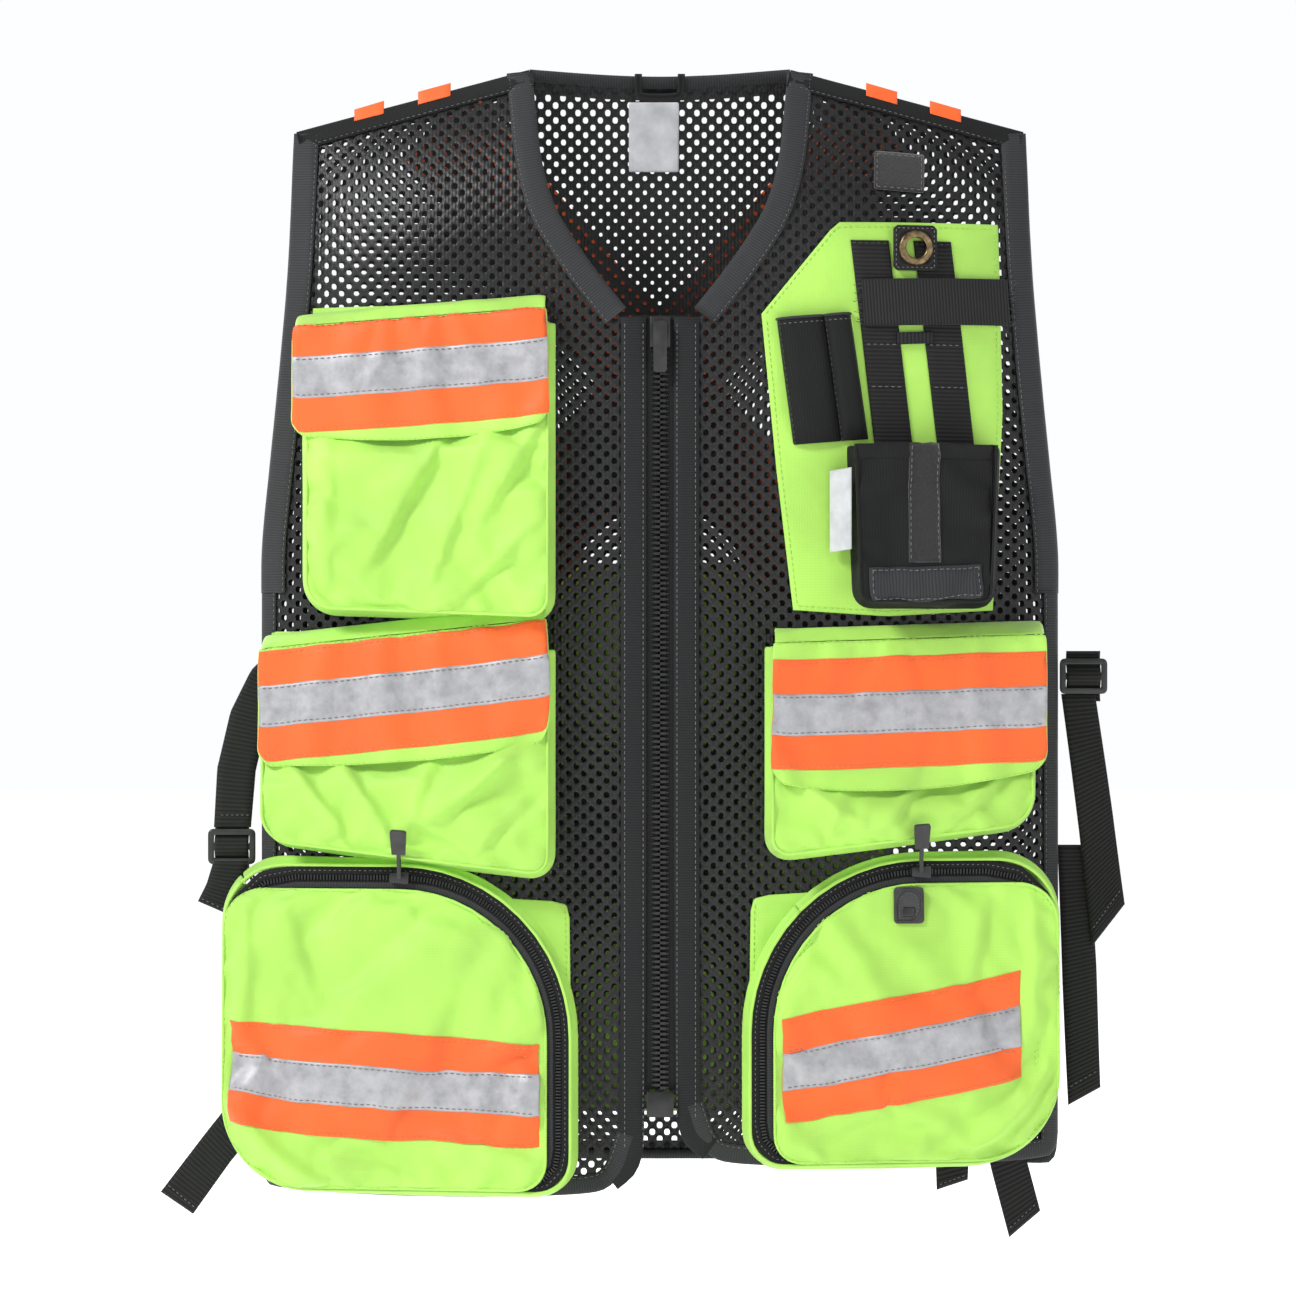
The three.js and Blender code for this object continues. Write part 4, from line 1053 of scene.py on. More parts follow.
def make_back():
    neck = np.array([(-NECK_HALF, NECK_Z), (-44, -1.5), (0, -3), (44, -1.5), (NECK_HALF, NECK_Z)])
    wrap("neck_back", left_of(as_path(neck, 1), (0, -300)), 13, BACK, "binding")
    hem = as_path([(-SIDE_X, HEM_BACK_Z + 30), (-SIDE_X, HEM_BACK_Z + 3), (-SIDE_X + 10, HEM_BACK_Z - 1),
                   (SIDE_X - 10, HEM_BACK_Z - 1), (SIDE_X, HEM_BACK_Z + 3), (SIDE_X, HEM_BACK_Z + 30)], 1)
    wrap("hem_back", left_of(hem, (0, -500)), 11, BACK, "binding", None, 1.5)
    # The crossing tapes: two orange arms with silver along the middle of each.
    start, end = np.array([172.0, -5.0]), np.array([-188.0, -429.0])
    for sign, layer in ((-1, 0.0), (1, 1.0)):
        a, b = start * [sign, 1], end * [sign, 1]
        along = (b - a) / np.linalg.norm(b - a)
        a = a + along * 34
        b = b - along * 30
        for name, half, lift, material in (("orange", 32.5, 0.0, "orange"), ("silver", 12.2, 1.0, "silver")):
            side = np.array([-along[1], along[0]]) * half
            corners = [b + side, b - side, a - side, a + side]
            if (corners[1] - corners[0])[0] < 0:
                corners = [corners[1], corners[0], corners[3], corners[2]]
            sides = rounded_sides([tuple(c) for c in corners])
            patch(f"cross_{name}_{'right' if sign < 0 else 'left'}", sides, BACK,
                  LAYER_1 + 0.2 + layer * 1.1 + lift, 0.8, material, "root",
                  "back_tape_cross" if name == "orange" else None, 12)
            stitch_patch(sides, BACK, LAYER_1 + 1.3 + layer * 1.1 + lift, "root",
                         "thread_orange" if name == "orange" else "thread_grey", 2.0, "rl")
    # The cargo pouch across the back, with its own tapes.
    make_pocket("rear", "rear_pouch", [(-150, -700, 14), (150, -700, 14), (150, -330, 6), (-150, -330, 6)],
                Face(lambda x, z: BACK.y(x, z) + 19.0, 1), BACK, "yellow", 0.025, 10, 5.0, 11,
                hem_material="binding")
    for z, name in ((-470, "upper"), (-600, "lower")):
        for kind, high, lift in (("orange", 65, 0.3), ("silver", 24.5, 1.2)):
            middle = z - 32
            corners = [(-147, middle - high / 2), (147, middle - high / 2), (147, middle + high / 2),
                       (-147, middle + high / 2)]
            patch(f"rear_{kind}_{name}", corners, POCKETS["rear"], lift + 0.6, 0.8, kind, "root", None, 8)
            stitch_patch(corners, POCKETS["rear"], lift + 1.6, "root",
                         "thread_orange" if kind == "orange" else "thread_grey", 2.0, "bt")


POCKETS = {}


def make_pocket(name, node, corners, front, base, material, grow, pleat, step, seed,
                tuck=None, hem_material=None, stitch_thread="thread_yellow", body="root", folds=()):
    """A bag pocket: a loose front, a folded gusset round three sides and a hem on top."""
    sides = rounded_sides(corners)
    u, v, width, height = spread(sides, step)
    flat = coons(*sides, u, v)
    x, z = flat[..., 0], flat[..., 1]
    rest = np.stack([x, front.y(x, z), z], -1)
    if tuck is not None:
        rest[..., 1] += tuck(u, v, x, z)
    rest[..., 1] += front.out * crease(u, v, folds)
    pinned = np.zeros_like(u)
    pinned[0, :] = pinned[:, 0] = pinned[:, -1] = 1
    pinned[-1, ::6] = 1
    loose = crumple(rest, pinned, grow, seed=seed)
    loose = held_within(loose, rest, 11 if front.out < 0 else 5, 8 if front.out < 0 else 7)
    if tuck is not None:
        hidden = np.clip(tuck(u, v, x, z - 6) / 3.0, 0, 1)
        loose[..., 1] = np.where(hidden > 0, np.maximum(loose[..., 1], front.y(x, z) - 11 * (1 - hidden)
                                                        + hidden * 3.5), loose[..., 1])
    sheet = Sheet(sides, loose, front.out)
    piece = thicken(f"{name}_front", sheet, 1.2, material, body, node, (width, height))
    bottom, right, top, left = sides
    t = np.linspace(0, 1, 60)
    path = np.concatenate([left(t[::-1])[:-1], bottom(t)[:-1], right(t)])
    path = run(path)(np.linspace(0, 1, int((2 * height + width) / 4)))
    edge_y = sheet.at(path[:, 0], path[:, 1], 0.0)[:, 1]
    base_y = lambda px, pz: base.y(px, pz) + base.out * (LAYER_1 + 0.4)
    gusset(f"{name}_gusset", path, edge_y, base_y, material, body, 1.2, pleat, seed)
    seam = np.stack([path[:, 0], edge_y + front.out * 0.8, path[:, 1]], 1)
    ridge(f"{name}_seam", seam, 1.1, material, body)
    inner = run(path)(np.linspace(0.01, 0.99, 200))
    pulled = inner + (np.mean(path, 0) - inner) * 0.035
    stitch(body, stitch_thread, sheet.at(pulled[:, 0], pulled[:, 1], np.full(200, 0.6)), (0, front.out, 0))
    top_line = top(np.linspace(0.01, 0.99, 60))
    band(f"{name}_hem", left_of(top_line, (top_line[:, 0].mean(), -2000)), 0.2, 12, sheet, 0.5, 0.9,
         hem_material or material, body)
    POCKETS[name] = sheet
    return sheet


def make_backing(name, corners, material="yellow", offset=LAYER_1 + 0.05, thick=0.8):
    patch(name, corners, FRONT, offset, thick, material, "root", None, 9)


def tape(name, cloth, body, node, sign, inner, outer, top_inner, top_outer, reach=TAPE_WIDTH,
         lift=0.9, silver_from=20.5, slant=0.0):
    """An orange tape with a raised silver stripe, sewn along its top and bottom edges."""
    layers = (("orange", 0.0, reach, lift, 0.7, node), ("silver", silver_from, silver_from + SILVER_WIDTH,
                                                       lift + 0.7, 0.55, None))
    made = []
    for kind, start, end, offset, thick, stands_for in layers:
        corners = quad(sign, (inner, top_inner - end), (outer, top_outer - end),
                       (outer - slant, top_outer - start), (inner, top_inner - start))
        made.append(patch(f"{name}_{kind}", corners, cloth, offset, thick, kind, body, stands_for, 4.0))
        stitch_patch(corners, cloth, offset + thick, body,
                     "thread_orange" if kind == "orange" else "thread_grey", 1.8, "bt")
    return made


FLAPS = {
    "chest": dict(sign=-1, outer=234, top=-172, bottom_outer=-360, bottom_inner=-366, flap_outer=243,
                  flap_top_outer=-174, flap_top_inner=-163, drop=74, sag=6, tape_drop=1.5,
                  node="chest_flap_right", body="chest_flap", grow=0.10, seed=21,
                  folds=[(0.10, 0.75, 0.10, 0.08, 5, 0.05), (0.62, 0.72, 0.22, 0.12, 6, 0.06),
                         (0.78, 0.70, 0.52, 0.10, 5, 0.05), (0.98, 0.72, 0.70, 0.30, 6, 0.06),
                         (0.97, 0.35, 0.62, 0.05, 4, 0.05)]),
    "mid_right": dict(sign=-1, outer=264, top=-388, bottom_outer=-514, bottom_inner=-536, flap_outer=266,
                      flap_top_outer=-388, flap_top_inner=-368, drop=79, sag=4, tape_drop=5,
                      node="mid_flap_right", body="mid_flap_right", grow=0.10, seed=37,
                      folds=[(0.04, 0.55, 0.30, 0.10, 6, 0.05), (0.22, 0.60, 0.48, 0.08, 6, 0.05),
                             (0.60, 0.55, 0.52, 0.10, 5, 0.04), (0.97, 0.66, 0.60, 0.22, 8, 0.06),
                             (0.97, 0.40, 0.72, 0.05, 5, 0.05)]),
    "mid_left": dict(sign=1, outer=247, top=-386, bottom_outer=-503, bottom_inner=-524, flap_outer=256,
                     flap_top_outer=-378, flap_top_inner=-384, drop=90, sag=8, tape_drop=14,
                     node="mid_flap_left", body="mid_flap_left", grow=0.09, seed=45,
                     folds=[(0.03, 0.45, 0.35, 0.12, 5, 0.05), (0.30, 0.42, 0.22, 0.06, 4, 0.04),
                            (0.62, 0.42, 0.42, 0.10, 6, 0.05), (0.97, 0.45, 0.70, 0.12, 6, 0.05)]),
}


def make_flap_pocket(name, p):
    sign, inner = p["sign"], POCKET_INNER
    plane = plane_face(p["top"])
    corners = quad(sign, (inner, p["bottom_inner"], 12), (p["outer"], p["bottom_outer"], 18),
                   (p["outer"], p["top"]), (inner, p["top"]))
    node = p["node"].replace("flap", "pocket")

    def tuck(u, v, x, z):
        t = (np.abs(x) - inner) / (p["flap_outer"] - inner)
        foot = p["flap_top_inner"] + (p["flap_top_outer"] - p["flap_top_inner"]) * t - p["drop"]
        foot = foot - 4 * t * (1 - t) * p["sag"]
        return 4.5 * np.clip((z - foot + 12) / 14, 0, 1)

    make_pocket(name, node, corners, plane, FRONT, "yellow", p["grow"], 7, 4.0, p["seed"], tuck,
                folds=p["folds"])
    make_backing(f"{name}_backing", quad(sign, (inner + 2, p["bottom_inner"] + 8),
                                         (p["outer"] - 2, p["bottom_outer"] + 8),
                                         (p["outer"] - 2, p["top"] + 12), (inner + 2, p["top"] + 12)))
    # The flap hangs from its top edge, a little proud of the pocket.
    fi, fo = inner + 1, p["flap_outer"]
    top_i, top_o = p["flap_top_inner"], p["flap_top_outer"]
    sides = rounded_sides(quad(sign, (fi, top_i - p["drop"], 9), (fo, top_o - p["drop"] + 4, 9),
                               (fo, top_o, 2), (fi, top_i, 2)))
    sides = with_sag(sides, p["sag"])
    u, v, width, height = spread(sides, 4.2)
    flat = coons(*sides, u, v)
    x, z = flat[..., 0], flat[..., 1]
    rest = np.stack([x, plane.y(x, z) - 1.6, z], -1)
    pinned = np.zeros_like(u)
    pinned[-1, :] = 1
    pinned[:, 0] = pinned[:, -1] = 0.25
    loose = crumple(rest, pinned, 0.05, seed=p["seed"] + 1, frames=18, bending=0.8)
    loose = held_within(loose, rest, 5.5, 0.8)
    sheet = Sheet(sides, loose)
    body = p["body"]
    flap = thicken(f"{name}_flap", sheet, 1.8, "yellow", body, p["node"], (width, height))
    made = tape(f"{name}_flap_tape", sheet, body, p["node"].replace("flap", "flap_tape"), sign, fi + 2,
                fo - 2, top_i - p["tape_drop"], top_o - p["tape_drop"],
                min(TAPE_WIDTH, p["drop"] - p["tape_drop"] - 3))
    stitch_patch(sides, sheet, 0.95, body, "thread_yellow", 2.4, "bt")
    # Between the panel and the flap's hinge line.
    t = np.linspace(0, 1, 50)
    line = sides[2](t)
    hinge = np.stack([line[:, 0], plane.y(line[:, 0], line[:, 1]) - 1.0, line[:, 1] + 0.5], 1)
    seat = np.stack([line[:, 0], FRONT.y(line[:, 0], line[:, 1] + 6) - LAYER_1 - 0.6, line[:, 1] + 9], 1)
    top, bottom = [], []
    for k in np.linspace(0, 1, 8):
        middle = hinge * (1 - k) + seat * k
        uneven = value_noise(line[:, 0], line[:, 0] * 0 + 40 * k, 14, p["seed"])
        middle[:, 2] += 2.5 * math.sin(math.pi * k) + 0.8 * uneven * math.sin(math.pi * k)
        top.append(middle + [0, 0, 0.6])
        bottom.append(middle - [0, 0, 0.6])
    shell(f"{name}_flap_root", np.array(top), np.array(bottom), "yellow", "root", None, (width, 20), 1)
    seam_z = line[:, 1] + 9.5
    band(f"{name}_flap_seam", left_of(np.stack([line[:, 0], seam_z], 1), (0, -3000)), 0.0, 5, FRONT,
         LAYER_1 + 0.3, 1.0, "yellow")


LOWERS = {
    "right": dict(sign=-1, outer=290, top=-531, bottom=-745, tape=-640, tilt=14, seed=52,
                  tape_from=84, tape_to=280,
                  folds=[(0.10, 0.97, 0.08, 0.45, 4, 0.04), (0.22, 0.95, 0.30, 0.60, 3, 0.04),
                         (0.02, 0.30, 0.30, 0.03, 5, 0.05), (0.55, 0.22, 0.98, 0.10, 4, 0.05),
                         (0.97, 0.55, 0.72, 0.40, 3, 0.04)]),
    "left": dict(sign=1, outer=264, top=-527, bottom=-727, tape=-616, tilt=30, seed=64,
                 tape_from=86, tape_to=233,
                 folds=[(0.90, 0.97, 0.90, 0.45, 4, 0.04), (0.72, 0.95, 0.66, 0.62, 3, 0.04),
                        (0.98, 0.35, 0.70, 0.04, 5, 0.05), (0.40, 0.22, 0.05, 0.08, 4, 0.05),
                        (0.30, 0.70, 0.45, 0.50, 3, 0.05)]),
}


def make_lower(word, p):
    sign, outer, top, bottom = p["sign"], p["outer"], p["top"], p["bottom"]
    plane = plane_face(top)
    full = quad(sign, (59, bottom, 22), (outer, bottom, 57), (outer, top, 40), (59, top, 113))
    sides = rounded_sides(full)
    t = np.linspace(0, 1, 60)
    loop = np.concatenate([sides[3](t[::-1])[:-1], sides[0](t)[:-1], sides[1](t)[:-1], sides[2](t[::-1])])
    count = 190
    loop = run(loop)(np.linspace(0, 1, count))
    front_edge = plane.y(loop[:, 0], loop[:, 1]) + 4.6
    base_y = lambda px, pz: FRONT.y(np.clip(px, -SIDE_X, SIDE_X), pz) - LAYER_1 - 0.4
    gusset(f"lower_gusset_{word}", loop, front_edge, base_y, "yellow", "root", 1.2, 8.0, p["seed"],
           node=f"lower_pocket_{word}")
    make_backing(f"lower_backing_{word}", quad(sign, (64, bottom + 6, 16), (min(outer, 262), bottom + 10, 20),
                                               (min(outer, 262), top - 6, 20), (64, top - 6, 90)))
    base_panel = quad(sign, (58, top - 178, 10), (120, top - 190, 4), (130, top - 20, 4), (60, top - 24, 8))
    patch(f"lower_base_{word}", base_panel, FRONT, LAYER_1 + 0.1, 1.0, "yellow", "root", None, 8)
    stitch_patch(base_panel, FRONT, LAYER_1 + 1.15, "root", "thread_yellow", 2.5, "rl")
    seam = np.stack([loop[:, 0], front_edge - 0.6, loop[:, 1]], 1)
    ridge(f"lower_rim_{word}", seam, 1.2, "yellow", "root")
    # The loose cover, held by the zipper round its top and sewn at the bottom.
    cover = rounded_sides(quad(sign, (75.3, bottom + 2, 18), (outer, bottom + 2, 55),
                               (outer, top - 16.3, 26), (75.3, top - 16.3, 97)))
    u, v, width, height = spread(cover, 4.4)
    flat = coons(*cover, u, v)
    x, z = flat[..., 0], flat[..., 1]
    belly = 3.5 * np.sin(np.pi * u) * np.sin(np.pi * np.clip(v, 0, 1))
    rest = np.stack([x, plane.y(x, z) + 1.2 - belly - crease(u, v, p["folds"]), z], -1)
    pinned = np.zeros_like(u)
    pinned[0, :] = pinned[-1, :] = pinned[:, 0] = pinned[:, -1] = 1
    loose = crumple(rest, pinned, 0.09, seed=p["seed"] + 2)
    loose = held_within(loose, rest, 6.0, 2.0)
    if sign > 0:
        near = np.exp(-((x - 164) / 26) ** 4 - ((z + 556) / 26) ** 4)
        behind = np.minimum(0, loose[..., 1] - plane.y(x, z) - 0.6)
        loose[..., 1] -= near * behind
    sheet = Sheet(cover, loose)
    body = f"lower_cover_{word}"
    piece = thicken(f"lower_cloth_{word}", sheet, 1.3, "yellow", body, body, (width, height))
    POCKETS[f"lower_{word}"] = sheet
    inside, outside = p["tape_from"], p["tape_to"]
    tilt = p["tilt"] / 2
    made = tape(f"lower_tape_{word}", sheet, body, f"lower_tape_{word}", sign, inside, outside,
                p["tape"] - tilt, p["tape"] + tilt)
    rim = np.concatenate([cover[3](t[::-1])[:-1], cover[0](t)[:-1], cover[1](t)[:-1], cover[2](t[::-1])])
    rim = run(rim)(np.linspace(0, 1, 200))
    rim_points = sheet.at(rim[:, 0], rim[:, 1], 0.0)
    ridge(f"lower_cover_seam_{word}", rim_points + [0, -0.4, 0], 1.0, "yellow", body)
    pulled = rim + (np.array([sign * (75 + outer) / 2, (top + bottom) / 2]) - rim) * 0.04
    stitch(body, "thread_yellow", sheet.at(pulled[:, 0], pulled[:, 1], np.full(200, 0.65)))
    make_lower_zip(word, sign, outer, top, bottom, plane)


def make_lower_zip(word, sign, outer, top, bottom, plane):
    """The curved zipper: two tapes, a coil of teeth and a row of white stitches."""
    angles = np.linspace(math.pi, math.pi / 2, 26)
    centre_z = top - 113
    arc = np.stack([172 + 105 * np.cos(angles), centre_z + 105 * np.sin(angles)], 1)
    foot = [(90, bottom + 7), (77, bottom + 9), (69, bottom + 17), (67, bottom + 28)]
    head = [(outer - 48, top - 8), (outer - 27, top - 12), (outer - 12, top - 27), (outer - 8, top - 46)]
    line = np.concatenate([foot, [(67, centre_z - 10)], arc, head])
    line = line * [sign, 1]
    line = left_of(line, (sign * 180, (top + bottom) / 2))
    face = Face(lambda x, z: plane.y(x, z) + 5.0)
    band(f"zip_outer_{word}", line, -7.7, -1.0, face, 0.2, 1.3, "cloth_black", "root", f"lower_zip_{word}",
         step=4)
    band(f"zip_inner_{word}", line, 1.0, 8.6, face, 0.2, 1.3, "cloth_black", "root", step=4)
    band(f"zip_under_{word}", line, -1.6, 1.6, face, 0.1, 0.5, "cloth_black", "root", step=4)
    band(f"zip_strip_{word}", line, 3.2, 7.6, face, 1.5, 0.7, "binding", "root", step=4)
    path = run(line)
    fine = path(np.linspace(0, 1, 500))
    length = np.linalg.norm(np.diff(fine, axis=0), axis=1).sum()
    make_coil(f"zip_coil_{word}", path, length, face, "root")
    for across, thread in ((-4.5, "thread_grey"), (5.6, "thread_black")):
        t = np.linspace(0.01, 0.99, 300)
        here, ahead = path(t), path(t + 0.005)
        along = (ahead - here) / np.linalg.norm(ahead - here, axis=1, keepdims=True)
        place = here + np.stack([-along[:, 1], along[:, 0]], 1) * across
        stitch("root", thread, face.at(place[:, 0], place[:, 1], np.full(300, 1.6)), None, 1.6, 1.8)


def boxes(name, centres, along, half, material, body, out=(0, -1, 0)):
    """Many small blocks in one mesh. half is the half size along, across and out."""
    centres, along = np.asarray(centres, float), np.asarray(along, float)
    out = np.broadcast_to(np.asarray(out, float), centres.shape)
    across = np.cross(along, out)
    verts = []
    for a, c, o in ((-1, -1, -1), (1, -1, -1), (1, 1, -1), (-1, 1, -1),
                    (-0.7, -0.7, 1), (0.7, -0.7, 1), (0.7, 0.7, 1), (-0.7, 0.7, 1)):
        verts.append(centres + along * a * half[0] + across * c * half[1] + out * o * half[2])
    verts = np.stack(verts, 1).reshape(-1, 3)
    pattern = np.array([[3, 2, 1, 0], [4, 5, 6, 7], [0, 1, 5, 4], [1, 2, 6, 5], [2, 3, 7, 6], [3, 0, 4, 7]])
    faces = (pattern[None] + np.arange(len(centres))[:, None, None] * 8).reshape(-1, 4)
    return finish_mesh(name, verts, faces, material, body, smooth=False)


def make_coil(name, path, length, face, body):
    count = int(length / 2.1)
    t = (np.arange(count) + 0.5) / count
    here, ahead = path(t), path(np.minimum(t + 0.004, 1.0))
    along = ahead - path(np.maximum(t - 0.004, 0))
    along /= np.linalg.norm(along, axis=1, keepdims=True)
    direction = np.stack([along[:, 0], np.zeros(count), along[:, 1]], 1)
    boxes(name, face.at(here[:, 0], here[:, 1], np.full(count, 1.6)), direction, (0.72, 2.3, 1.0),
          "teeth", body)


def make_closure():
    """The front zipper: facings, tapes and two rows of moulded teeth."""
    for word, sign in SIDES:
        hem = HEM_RIGHT_Z if sign < 0 else HEM_LEFT_Z
        tape_line = np.array([(sign * 0.7, -167.0), (sign * 0.7, -679.0)])
        tape_line = left_of(tape_line, (sign * 100, -400))
        band(f"zip_tape_{word}", tape_line, 0.0, 17.5, FRONT, 0.6, 1.2, "cloth_black", "root",
             f"zipper_tape_{word}", step=8)
        facing = left_of(as_path([(9, -168), (9, hem + 40), (14, hem + 14), (28, hem + 3)], sign),
                         (sign * 100, -400))
        band(f"facing_{word}", facing, 0.0, 17, FRONT, LAYER_1 + 0.05, 1.3, "facing", "root",
             f"placket_{word}", step=7)
        for across in (11.2, 23.4):
            z = np.linspace(-172, hem + 30, 200)
            x = np.full(200, sign * across)
            stitch("root", "thread_grey", FRONT.at(x, z, np.full(200, LAYER_1 + 1.35)), None, 2.4, 1.4)
        pitch = 3.55
        count = int((680 - 167) / pitch)
        z = -167.5 - pitch * (np.arange(count) + (0.25 if sign < 0 else 0.75))
        x = np.full(count, sign * 1.9)
        centre = FRONT.at(x, z, np.full(count, 2.0))
        down = np.tile([0.0, 0, 1.0], (count, 1))
        boxes(f"teeth_{word}", centre, down, (1.25, 2.7, 1.7), "teeth", "root")
        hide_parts(f"zipper_teeth_{word}")
        root = FRONT.at(np.full(count, sign * 4.6), z, np.full(count, 1.6))
        boxes(f"tooth_roots_{word}", root, down, (0.8, 1.3, 1.3), "teeth", "root")


def make_radio():
    """The wearer's left chest: webbing, elastic, pen sleeve and radio pouch on a yellow panel."""
    sides = [run([(88, -362), (150, -366), (222, -362)]), run([(222, -362), (229, -230), (226, -104)]),
             run([(67, -166), (117, -105), (226, -104)]), run([(88, -362), (77, -270), (67, -166)])]
    patch("radio_cloth", sides, FRONT, LAYER_1, 1.2, "yellow", "root", "radio_panel", 6)
    stitch_patch(sides, FRONT, LAYER_1 + 1.25, "root", "thread_yellow", 3.0)
    for name, x in (("webbing_inner", 126.0), ("webbing_outer", 168.0)):
        edges = [run([(x + 17, -262), (x + 42.4, -262)]), run([(x + 42.4, -262), (x + 25.4, -117)]),
                 run([(x, -117), (x + 25.4, -117)]), run([(x + 17, -262), (x, -117)])]
        patch(f"strip_{name}", edges, FRONT, LAYER_2, 1.6, "webbing", "root", name, 5)
        stitch_patch(edges, FRONT, LAYER_2 + 1.6, "root", "thread_black", 2.0, "t")
        for lower in (-186, -214):
            z = np.full(30, float(lower))
            shift = x + 17 * (-117 - lower) / 145
            xs = np.linspace(shift + 2, shift + 23.4, 30)
            stitch("root", "thread_grey", FRONT.at(xs, z, np.full(30, LAYER_2 + 1.6)))
    bow = lambda u, v, x, z: 3.2 * (1 - (2 * u - 1) ** 2)
    band_corners = [(135, -174), (234, -172), (232, -141), (133, -143)]
    patch("elastic_cloth", band_corners, FRONT, LAYER_3 + 0.1, 1.8, "elastic", "root", "elastic_band", 4, bow)
    random = np.random.RandomState(5)
    for side in (133.5, 233.0):
        for _ in range(16):
            z = random.uniform(-173, -142)
            reach = random.uniform(2, 6) * (-1 if side < 150 else 1)
            start = FRONT.at(np.array([side]), np.array([z]), np.array([LAYER_3 + 1.0]))[0]
            end = start + [reach, random.uniform(-2, 1), random.uniform(-4, 2)]
            middle = (start + end) / 2 + [0, random.uniform(-1, 0), random.uniform(-1.5, 1.5)]
            ridge(f"fray_{side:.0f}_{_}", run([start, middle, end])(np.linspace(0, 1, 5)), 0.17,
                  "thread_black", "root")
    bar = [(157, -186), (181, -185), (181, -177), (157, -178)]
    patch("crossbar", bar, FRONT, LAYER_3, 1.4, "elastic", "root", None, 4)
    make_pen_sleeve()
    # The radio pouch.
    pouch_y = Face(lambda x, z: -(91 - 0.2 * (x - 128)))
    corners = [(132, -356, 6), (218, -356, 6), (222, -253, 1), (128, -253, 1)]
    make_pocket("pouch", "radio_pouch", corners, pouch_y, FRONT, "cloth_black", 0.03, 6, 3.6, 77,
                stitch_thread="thread_black")
    sheet = POCKETS["pouch"]
    strip = [(164, -329), (183, -329), (183, -255), (164, -255)]
    patch("hook_cloth", strip, sheet, 0.7, 1.3, "hook", "root", "pouch_hook_strip", 2.5)
    stitch_patch(strip, sheet, 2.0, "root", "thread_grey", 1.3, "rl")
    flap = [(140, -355, 3), (210, -351, 3), (209, -330), (139, -333)]
    patch("pouch_patch", flap, sheet, 0.8, 1.9, "binding", "pouch_flap", "pouch_flap", 4)
    stitch_patch(flap, sheet, 2.8, "pouch_flap", "thread_grey", 2.0)
    # A blank silver side tag on the pouch's inner gusset.
    tag = Face(lambda x, z: -66 - 0.9 * (x - 111))
    patch("side_tag", [(112, -324), (126, -322), (126, -268), (112, -270)], tag, 0.0, 0.5, "label")
    mic = [(142, -82, 2), (176, -84, 2), (177, -57, 2), (143, -55, 2)]
    patch("mic_cloth", mic, FRONT, LAYER_1, 1.7, "hook", "root", "mic_patch", 3)
    stitch_patch(mic, FRONT, LAYER_1 + 1.75, "root", "thread_grey", 2.0)


def make_pen_sleeve():
    """Two pen channels side by side, sewn down between and at the edges."""
    left = run([(88, -253), (77, -170)])
    right = run([(138, -249), (126, -166)])
    bottom = run([(88, -253), (138, -249)])
    top = run([(77, -170), (126, -166)])
    for name, start, end, node in (("near", 0.0, 0.64, "pen_sleeve"), ("far", 0.632, 1.0, None)):
        u, v = np.meshgrid(np.linspace(0, 1, 22), np.linspace(0, 1, 26))
        flat = coons(bottom, right, top, left, start + (end - start) * u, v)
        x, z = flat[..., 0], flat[..., 1]
        bulge = (1 - np.abs(2 * u - 1) ** 3) ** 0.5
        close = np.clip(v / 0.12, 0.12, 1) ** 0.5
        outer = FRONT.at(x, z, LAYER_2 + 0.4 + 8.5 * bulge * close)
        outer[..., 1] -= 0.5 * value_noise(x, z, 9, 12)
        inner = FRONT.at(x, z, LAYER_2 + 0.1 + 7.4 * bulge * close)
        shell(f"pen_channel_{name}", outer, inner, "cloth_black", "root", node, (26, 84), 1)
        row = 24
        stitch("root", "thread_grey", outer[row], (0, -1, 0), 2.0, 1.4)
        stitch("root", "thread_black", outer[:, 1] + [0, -0.4, 0], (0, -1, 0), 2.2, 1.6)
        ridge(f"pen_lip_{name}", outer[-1] + [0, 0, 0.2], 0.9, "binding", "root")


def make_grommet_tab():
    """A square webbing tab with a round opening for the grommet."""
    x0, z0 = 169.0, -122.0
    yaw = math.atan(4 * FRONT_DEPTH * x0 ** 3 / HALF_WIDTH ** 4)
    seat = -60.0 * float(fullness(np.array(x0), np.array(z0))) - LAYER_3 - 1.4
    angles = np.linspace(0, 2 * math.pi, 65)
    square = 15.0 / np.maximum(np.abs(np.cos(angles)), np.abs(np.sin(angles)))
    square = np.minimum(square, 19.5)
    rings = [(8.6, 0.2), (8.9, 2.2), (0.4, 2.2), (0.7, 2.2), (0.97, 2.2), (1.0, 1.6), (1.0, 0.2)]
    points = []
    for reach, high in rings:
        r = np.full(65, reach) if reach > 1.5 else 8.9 + (square - 8.9) * reach
        a, b = r * np.cos(angles), r * np.sin(angles)
        points.append(np.stack([x0 + a * math.cos(yaw), seat + a * math.sin(yaw) - high, z0 + b], 1))
    points = np.array(points)
    back = points.copy()
    back[..., 1] = seat + (points[..., 0] - x0) * math.tan(yaw) - 0.05
    piece = shell("tab_cloth", points, back, "webbing", "root", "grommet_tab", (100, 15))
    corners = np.array([(-13, -13), (13, -13), (13, 13), (-13, 13), (-13, -13)], float)
    line = run(corners)(np.linspace(0, 1, 100))
    place = np.stack([x0 + line[:, 0] * math.cos(yaw), seat + line[:, 0] * math.sin(yaw) - 2.25,
                      z0 + line[:, 1]], 1)
    stitch("root", "thread_grey", place, (0, -1, 0), 1.8, 1.4)
    return piece


